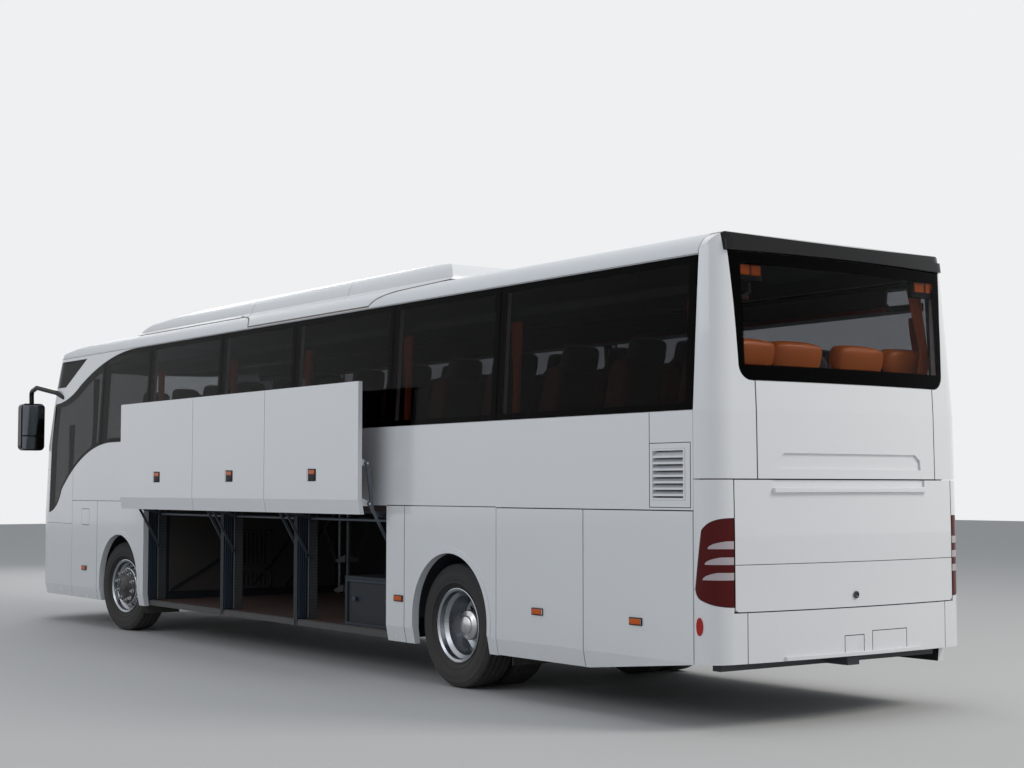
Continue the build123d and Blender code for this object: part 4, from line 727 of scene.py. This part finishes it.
# Wheels: pressed steel rims, polished; a dark dished plate over the front hubs, a chrome cup over
# the rear hubs, and ten nuts a wheel on one bolt circle.
def turn_profile(shape, profile, steps, closed=False):
    """Spin a profile of radius and distance out about the axle line; gives the ring's vertices."""
    earlier = set(shape.verts)
    points = [shape.verts.new((0.0, out, radius)) for radius, out in profile]
    pairs = list(zip(points, points[1:])) + ([(points[-1], points[0])] if closed else [])
    edges = [shape.edges.new(pair) for pair in pairs]
    bmesh.ops.spin(shape, geom=points + edges, cent=(0, 0, 0), axis=(0, 1, 0), dvec=(0, 0, 0),
                   angle=2 * math.pi, steps=steps, use_merge=True, use_duplicate=False)
    ring = [vertex for vertex in shape.verts if vertex not in earlier]
    bmesh.ops.remove_doubles(shape, verts=ring, dist=0.00002)
    return [vertex for vertex in shape.verts if vertex not in earlier]


wheel_height, kingpin_out = 0.505, 0.890
front_wheel, rear_wheel = (3.640, math.radians(7)), (-3.220, 0.0)  # axle X and steer at rest
bolt_circle, bolt_count = 0.1675, 10
# Radius and distance out from the centreline
front_plate = ((0.198, 1.1500), (0.196, 1.1590), (0.188, 1.1625), (0.140, 1.1650), (0.108, 1.1700),
               (0.094, 1.1790), (0.078, 1.1830), (0.060, 1.1850), (0.058, 1.1890), (0.048, 1.1920),
               (0.0, 1.1925))
rear_cup = ((0.134, 0.9300), (0.134, 0.9380), (0.1245, 0.9420), (0.1235, 1.0720), (0.1200, 1.0830),
            (0.1120, 1.0900), (0.0760, 1.0915), (0.0725, 1.0960), (0.0700, 1.1080), (0.0640, 1.1130),
            (0.0, 1.1150))
# Washer, nut and stud's end: corners, lower and upper radius, thickness, and how far out it sits
nut_parts = ((20, 0.0235, 0.0225, 0.006, 0.0), (6, 0.0185, 0.0178, 0.022, 0.013),
             (14, 0.0108, 0.0090, 0.016, 0.031))


def set_on_axle(shape, side, axle_x, steer):
    """Move what was turned at the left of the origin to its own wheel, mirrored and steered."""
    bmesh.ops.scale(shape, vec=(1, side, 1), verts=shape.verts)
    bmesh.ops.rotate(shape, cent=(0, side * kingpin_out, 0), matrix=Matrix.Rotation(steer, 3, "Z"),
                     verts=shape.verts)
    bmesh.ops.translate(shape, vec=(axle_x, 0, wheel_height), verts=shape.verts)
    bmesh.ops.recalc_face_normals(shape, faces=shape.faces)


def hub_mesh(shape, side, wheel, profile):
    turn_profile(shape, profile, 64)
    set_on_axle(shape, side, *wheel)


def nut_mesh(shape, side, wheel, face_out):
    for step in range(bolt_count):
        turn = 2 * math.pi * (step + 0.5) / bolt_count
        nut = []
        for corners, low_radius, high_radius, depth, out in nut_parts:
            part = bmesh.ops.create_cone(shape, cap_ends=True, segments=corners, radius1=low_radius,
                                         radius2=high_radius, depth=depth)["verts"]
            bmesh.ops.translate(shape, vec=(0, 0, out), verts=part)
            nut += part
        lay(shape, nut, math.radians(-90), "X", (bolt_circle * math.cos(turn), face_out + 0.003,
                                                 bolt_circle * math.sin(turn)))
    set_on_axle(shape, side, *wheel)


polished_rim = finish_material("polished_rim", (0.40, 0.42, 0.45), 0.20, metallic=1.0, film=0.20,
                               film_height=1.3, grain_scale=60.0, grain_depth=0.0004)
dress(polished_rim, "left_front_rim", "right_front_rim", "left_rear_rims", "right_rear_rims")
dark_plate = finish_material("dark_plate", (0.030, 0.030, 0.033), 0.32, metallic=0.3, film=0.3)
bright_nut = finish_material("bright_nut", (0.62, 0.62, 0.63), 0.20, metallic=1.0, film=0.1)
for side, side_name in ((1, "left"), (-1, "right")):
    for title, mesh_maker, wheel, form, material, body, smooth in (
            ("front_plate", hub_mesh, front_wheel, front_plate, dark_plate, "front_wheel", True),
            ("front_nuts", nut_mesh, front_wheel, 1.1625, bright_nut, "front_wheel", False),
            ("rear_cup", hub_mesh, rear_wheel, rear_cup, bright_nut, "rear_wheels", True),
            ("rear_nuts", nut_mesh, rear_wheel, 0.928, bright_nut, "rear_wheels", False)):
        fit_piece(f"{side_name}_{title}", lambda shape: mesh_maker(shape, side, wheel, form), material,
                  f"{side_name}_{body}", smooth)


# Tyres: five ribs between four grooves, notched shoulders, bulged walls with raised rings, and
# a bead that sits in the rim's flange.
tyre_half = ((0.5045, 0.0), (0.5045, 0.024), (0.4930, 0.025), (0.4930, 0.031), (0.5045, 0.032),
             (0.5040, 0.072), (0.4930, 0.073), (0.4930, 0.080), (0.5035, 0.081), (0.5030, 0.104),
             (0.4980, 0.114), (0.4890, 0.1225), (0.4780, 0.1290), (0.4640, 0.1340), (0.4620, 0.1370),
             (0.4580, 0.1380), (0.4560, 0.1370), (0.4300, 0.1440), (0.3970, 0.1475), (0.3650, 0.1440),
             (0.3520, 0.1405), (0.3500, 0.1430), (0.3460, 0.1430), (0.3440, 0.1380), (0.3280, 0.1260),
             (0.3150, 0.1130), (0.3040, 0.1065), (0.2960, 0.1030), (0.2880, 0.0980))
tyre_steps = 120


def tyre_mesh(shape, side, wheel, middles):
    """One tyre about each middle; every third step of its shoulders is a notch."""
    for middle in middles:
        profile = [(r, middle + out) for r, out in tyre_half]
        profile += [(r, middle - out) for r, out in tyre_half[:0:-1]]
        ring = turn_profile(shape, profile, tyre_steps, closed=True)
        ring_faces = list({face for vertex in ring for face in vertex.link_faces})
        bmesh.ops.recalc_face_normals(shape, faces=ring_faces)
        notches = []
        for face in ring_faces:
            centre = face.calc_center_median()
            reach = math.hypot(centre.x, centre.z)
            step = int((math.atan2(centre.z, centre.x) / (2 * math.pi)) % 1.0 * tyre_steps)
            if reach > 0.502 and abs(centre.y - middle) > 0.085 and step % 3 == 0:
                notches.append(face)
        bmesh.ops.inset_individual(shape, faces=notches, thickness=0.004, depth=-0.006)
    set_on_axle(shape, side, *wheel)


tyre_rubber = finish_material("tyre_rubber", (0.012, 0.012, 0.013), 0.70, film=0.35, film_height=1.1,
                              grain_scale=400.0, grain_depth=0.001)
for side, side_name in ((1, "left"), (-1, "right")):
    front_tyre = fit_piece(f"{side_name}_front_tread",
                           lambda shape: tyre_mesh(shape, side, front_wheel, (1.052,)),
                           tyre_rubber, f"{side_name}_front_wheel", smooth=True)
    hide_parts(f"{side_name}_front_tyre")
    rear_tyres = fit_piece(f"{side_name}_rear_treads",
                           lambda shape: tyre_mesh(shape, side, rear_wheel, (1.070, 0.734)),
                           tyre_rubber, f"{side_name}_rear_wheels", smooth=True)
    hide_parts(f"{side_name}_rear_tyres")


# Passenger seats: two by two on metal stands, with dark woven covers, rust-brown side bolsters and
# headrests of the cover's cloth. The bench across the back has rust-red leather headrests.
seat_pitch, first_row, row_count = 0.790, 3.560, 12
deck_height, driver_height = 1.470, 0.900
left_rows = [first_row - seat_pitch * step for step in range(row_count)]
right_rows = [x for x in left_rows if not -2.8 < x < -1.9]
row_places = [(x, y, deck_height, 0.44) for x in left_rows for y in (0.450, 0.905)]
row_places += [(x, -y, deck_height, 0.44) for x in right_rows for y in (0.450, 0.905)]
row_places += [(4.900, 0.700, driver_height, 0.50)]
bench_places = [(-5.920, y, deck_height, 0.44) for y in (-0.888, -0.444, 0.0, 0.444, 0.888)]
cushion_lean, back_lean = math.radians(3), math.radians(-14)


def pad(shape, size, place, lean):
    """A crowned pad: a block cut up, relaxed into a pillow, leaned about Y and put in place."""
    earlier = len(shape.verts)
    cube = bmesh.ops.create_cube(shape, size=1.0)["verts"]
    bmesh.ops.scale(shape, vec=size, verts=cube)
    edges = list({edge for vertex in cube for edge in vertex.link_edges})
    bmesh.ops.subdivide_edges(shape, edges=edges, cuts=3, use_grid_fill=True)
    shape.verts.ensure_lookup_table()
    verts = shape.verts[earlier:]
    for step in range(2):
        bmesh.ops.smooth_vert(shape, verts=verts, factor=0.5, use_axis_x=True, use_axis_y=True,
                              use_axis_z=True)
    lay(shape, verts, lean, "Y", place)


def seat_covers_mesh(shape):
    for x, y, floor_z, width in row_places + bench_places:
        pad(shape, (0.50, width - 0.06, 0.17), (x + 0.235, y, floor_z + 0.405), cushion_lean)
        pad(shape, (0.16, width - 0.06, 0.80), (x - 0.020, y, floor_z + 0.760), back_lean)


def bolsters_mesh(shape):
    for x, y, floor_z, width in row_places + bench_places:
        for edge_y in (y - width / 2 + 0.035, y + width / 2 - 0.035):
            pad(shape, (0.48, 0.085, 0.20), (x + 0.235, edge_y, floor_z + 0.410), cushion_lean)
            pad(shape, (0.20, 0.085, 0.72), (x - 0.010, edge_y, floor_z + 0.740), back_lean)


def row_headrests_mesh(shape):
    for x, y, floor_z, _ in row_places:
        pad(shape, (0.14, 0.31, 0.22), (x - 0.150, y, floor_z + 1.150), back_lean)


def bench_headrests_mesh(shape):
    for y in (0.680, 0.200, -0.455, -0.980):
        pad(shape, (0.16, 0.50, 0.21), (-6.070, y, 2.575), back_lean)


# The woven cover's threads: two crossed waves, on Object coordinates
weave, weave_in, weave_out = effect_group("weave", (("Scale", 260.0),), ("Height",))
weave_place = weave.nodes.new("ShaderNodeTexCoord")
threads = []
for direction in ("Y", "Z"):
    thread = weave.nodes.new("ShaderNodeTexWave")
    thread.bands_direction = direction
    weave.links.new(weave_in.outputs["Scale"], thread.inputs["Scale"])
    weave.links.new(weave_place.outputs["Object"], thread.inputs["Vector"])
    threads.append(thread.outputs["Fac"])
weave.links.new(math_node(weave, "MULTIPLY", *threads), weave_out.inputs["Height"])


def cloth_material(name, dark, light, scale, sheen):
    """Woven cloth: threads in the colour and in the bump, with faded patches."""
    material, tree, surface = new_material(name, {"Roughness": 0.85, "Sheen Weight": sheen})
    woven = place_group(tree, weave, Scale=scale).outputs["Height"]
    patches = place_group(tree, fine_grain, Scale=3.0, Detail=4.0).outputs["Height"]
    halves = [math_node(tree, "MULTIPLY", part, 0.5) for part in (woven, patches)]
    blend = math_node(tree, "ADD", *halves)
    tree.links.new(mix_colour(tree, blend, dark, light), surface.inputs["Base Color"])
    bump(tree, woven, 0.4, 0.001)
    return material


seat_cloth = cloth_material("seat_cloth", (0.018, 0.016, 0.018), (0.075, 0.06, 0.06), 320.0, 0.3)
leather_grain = {"film": 0.0, "grain_scale": 420.0, "grain_depth": 0.0015}
rust_leather = finish_material("rust_leather", (0.90, 0.22, 0.045), 0.42, **leather_grain)
rust_edge = finish_material("rust_edge", (0.13, 0.026, 0.010), 0.55, **leather_grain)
for title, mesh_maker, material, fill in (
        ("seat_covers", seat_covers_mesh, seat_cloth, 0.8),
        ("seat_bolsters", bolsters_mesh, rust_edge, 0.85),
        ("row_headrests", row_headrests_mesh, seat_cloth, 0.9),
        ("bench_headrests", bench_headrests_mesh, rust_leather, 0.9)):
    cushions = fit_piece(title, mesh_maker, material, "body", smooth=True)
    rounding = cushions.modifiers.new("rounding", "SUBSURF")
    rounding.levels = rounding.render_levels = 1
    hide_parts("seats")
stand_blocks = []
for x, y, floor_z, _ in row_places:
    stand_blocks.append(((x + 0.130, y - 0.025, floor_z + 0.002),
                         (x + 0.370, y + 0.025, floor_z + 0.342), 0.012))
    stand_blocks.append(((x + 0.020, y - 0.160, floor_z + 0.300),
                         (x + 0.440, y + 0.160, floor_z + 0.330), 0.010))
stand_blocks.append(((-6.000, -1.100, deck_height + 0.002), (-5.520, 1.100, deck_height + 0.320),
                     0.020))
seat_stands = fit_blocks("seat_stands", stand_blocks, chassis_black, "body")
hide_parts("seats")

# Curtains: rust-red woven cloth, gathered beside each pillar, hung from the racks' outer edge and
# tied at 35 % of the height. Each is cut 0.45 m wide and gathered to a bundle of 0.125 m, which
# narrows to about half of that under the tie.
curtain_cloth = cloth_material("curtain_cloth", (0.62, 0.10, 0.02), (0.95, 0.24, 0.045), 420.0, 0.5)
curtain_top, curtain_foot, tie_share = 2.935, 2.125, 0.35
curtain_folds, curtain_depth, curtain_bundle = 5, 0.020, 0.125
curtain_rows = [(side, place, curtain_foot, curtain_top) for side in (1, -1)
                for place in (-6.060, -3.990, -2.397, -0.630, 0.940, 2.720)]
curtain_rows += [(1, 4.600, curtain_foot, curtain_top), (1, 5.300, 1.760, 2.400)]


def curtain_y(height):
    """How far from the centreline a curtain hangs at a height: it follows the lean of the side."""
    return 1.181 - 0.038 * (height - curtain_foot) / (curtain_top - curtain_foot)


def curtain_mesh(shape, side, place, foot, top):
    bmesh.ops.create_grid(shape, x_segments=60, y_segments=14, size=0.5)
    for vertex in shape.verts:
        along, up = vertex.co.x + 0.5, vertex.co.y + 0.5
        height = foot + up * (top - foot)
        wave = math.sin(along * curtain_folds * 2 * math.pi + 0.6 * math.sin(3 * up + place))
        above_tie = min(1.0, max(0.0, (up - tie_share) / 0.60))
        gather = 0.52 + 0.48 * above_tie * above_tie * (3 - 2 * above_tie)
        x = place + (along - 0.5) * curtain_bundle * gather - 0.5 * curtain_bundle * (1 - gather)
        vertex.co = (x, side * (curtain_y(height) + curtain_depth * wave), height)


for number, row in enumerate(curtain_rows):
    curtain = fit_piece(f"curtain_{number}", lambda shape: curtain_mesh(shape, *row), curtain_cloth,
                        "body", smooth=True)
    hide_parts("curtains")


# Rear corner curtains: the same cloth behind the rear window; the right one is tied back to the
# corner, the left one is drawn aside in a narrow bundle.
def rear_curtain_mesh(shape, top_y, waist_y, foot_y, bundle):
    bmesh.ops.create_grid(shape, x_segments=48, y_segments=16, size=0.5)
    for vertex in shape.verts:
        along, up = vertex.co.x + 0.5, vertex.co.y + 0.5
        height = 2.420 + up * 0.700
        if up > tie_share:
            middle_y = waist_y + (top_y - waist_y) * (up - tie_share) / (1 - tie_share)
        else:
            middle_y = foot_y + (waist_y - foot_y) * up / tie_share
        spread = bundle * (0.55 + 0.45 * abs(up - tie_share) / (1 - tie_share))
        wave = math.sin(along * curtain_folds * 2 * math.pi)
        vertex.co = (-6.215 + 0.018 * wave, middle_y + (along - 0.5) * spread, height)


rear_curtain_rows = (((-0.930, -1.040, -1.020, 0.150), 0.50), ((1.030, 1.045, 1.045, 0.060), 0.34))
for number, (row, cut_width) in enumerate(rear_curtain_rows):
    rear_curtain = fit_piece(f"rear_curtain_{number}", lambda shape: rear_curtain_mesh(shape, *row),
                             curtain_cloth, "body", smooth=True)


# Rear fittings: the engine hatch's lock, a dark turned rosette, and the exhaust's tail pipe, a
# thin steel tube that ends under the bumper.
def lock_mesh(shape):
    turn_profile(shape, ((0.026, 0.000), (0.026, 0.004), (0.022, 0.007), (0.012, 0.007),
                         (0.011, 0.003), (0.0, 0.003)), 32)
    lay(shape, shape.verts, math.radians(90), "Z", (-6.4815, 0.017, 0.879))
    bmesh.ops.recalc_face_normals(shape, faces=shape.faces)


def tail_pipe_mesh(shape):
    pipe = bmesh.ops.create_cone(shape, cap_ends=False, segments=32, radius1=0.052, radius2=0.052,
                                 depth=0.420)["verts"]
    lay(shape, pipe, math.radians(90), "Y", (-6.150, 0.820, 0.515))
    bmesh.ops.solidify(shape, geom=shape.faces[:], thickness=0.003)
    bmesh.ops.recalc_face_normals(shape, faces=shape.faces)


fit_piece("hatch_lock", lock_mesh, dark_plate, "engine_hatch", smooth=True)
pipe_steel = finish_material("pipe_steel", (0.10, 0.085, 0.075), 0.5, metallic=0.8, film=0.6)
fit_piece("tail_pipe", tail_pipe_mesh, pipe_steel, "body", smooth=True)


# Front fittings: two wipers parked on the windscreen, reflector bowls behind the clear lamp
# covers, and mirror glass in the mirror heads.
# Height and X of the front face on the centreline, and the radius of its bow in plan
front_levels = ((0.45, 6.475), (1.30, 6.490), (2.154, 6.405), (2.70, 6.310), (3.229, 6.150))
front_bow = 3.043
wiper_links, wiper_foot_z = 14, 1.400


def front_x(y, z):
    """The front face's X at a place: bowed in plan, and leaning back with height."""
    return read_off(front_levels, z) - (front_bow - math.sqrt(front_bow ** 2 - y ** 2))


def wiper_mesh(shape, pivot_y, tip_y, tip_z):
    """A row of short links that follow the windscreen's bow and get thinner towards the tip."""
    run_y, run_z = tip_y - pivot_y, tip_z - wiper_foot_z
    half_length = (math.hypot(run_y, run_z) / wiper_links + 0.004) / 2
    for number in range(wiper_links):
        share = (number + 0.5) / wiper_links
        y, z = pivot_y + run_y * share, wiper_foot_z + run_z * share
        half = (0.014 - 0.006 * number / wiper_links) / 2
        link = rounded_block(shape, (-half, -half_length, -half), (half, half_length, half), 0.003, 1)
        lay(shape, link, math.atan2(run_z, run_y), "X", (front_x(y, z) + 0.012, y, z))


def bowl_mesh(shape, side):
    for y, radius in ((0.800, 0.085), (0.985, 0.075)):
        bowl = turn_profile(shape, ((radius, 0.0), (radius * 0.93, -0.020), (radius * 0.72, -0.055),
                                    (radius * 0.35, -0.078), (0.014, -0.082), (0.014, -0.050),
                                    (0.0, -0.046)), 40)
        lay(shape, bowl, math.radians(-90), "Z", (front_x(y, 0.75) - 0.035, side * y, 0.755))


for side_name, *reach in (("left", 0.620, -0.150, 1.520), ("right", -0.350, -1.000, 1.700)):
    fit_piece(f"{side_name}_wiper", lambda shape: wiper_mesh(shape, *reach), latch_black, "body")
mirror_silver = finish_material("mirror_silver", (0.22, 0.23, 0.25), 0.05, metallic=1.0, film=0.0,
                                grain_scale=40.0, grain_depth=0.00005)
mirror_blocks = [((6.2965, 1.176, low_z), (6.3000, 1.446, high_z), 0.0015, 1)
                 for low_z, high_z in ((2.300, 2.685), (2.125, 2.285))]
for side, side_name in ((1, "left"), (-1, "right")):
    fit_piece(f"{side_name}_lamp_bowls", lambda shape: bowl_mesh(shape, side), bright_nut, "body",
              smooth=True)
    fit_blocks(f"{side_name}_mirror_glass", mirror_blocks, mirror_silver, "body",
               side)


# Door fittings: a black pull handle on each passenger door, and a rubber seal down both of its
# upright edges.
for body, low_x, high_x, high_z, handle_x, handle_z in (
        ("front_door", 4.558, 5.440, 2.150, 4.660, 1.060),
        ("mid_door", -2.228, -1.422, 2.060, -1.520, 1.250)):
    fit_blocks(f"{body}_handle", [((handle_x - 0.020, -1.2870, handle_z - 0.080),
                                   (handle_x + 0.020, -1.2660, handle_z + 0.080), 0.008, 3)],
               latch_black, body)
    fit_blocks(f"{body}_seal", [((x, -1.2700, 0.400), (x + 0.012, -1.2560, high_z), 0.004)
                                for x in (low_x, high_x - 0.012)], flap_rubber, body)
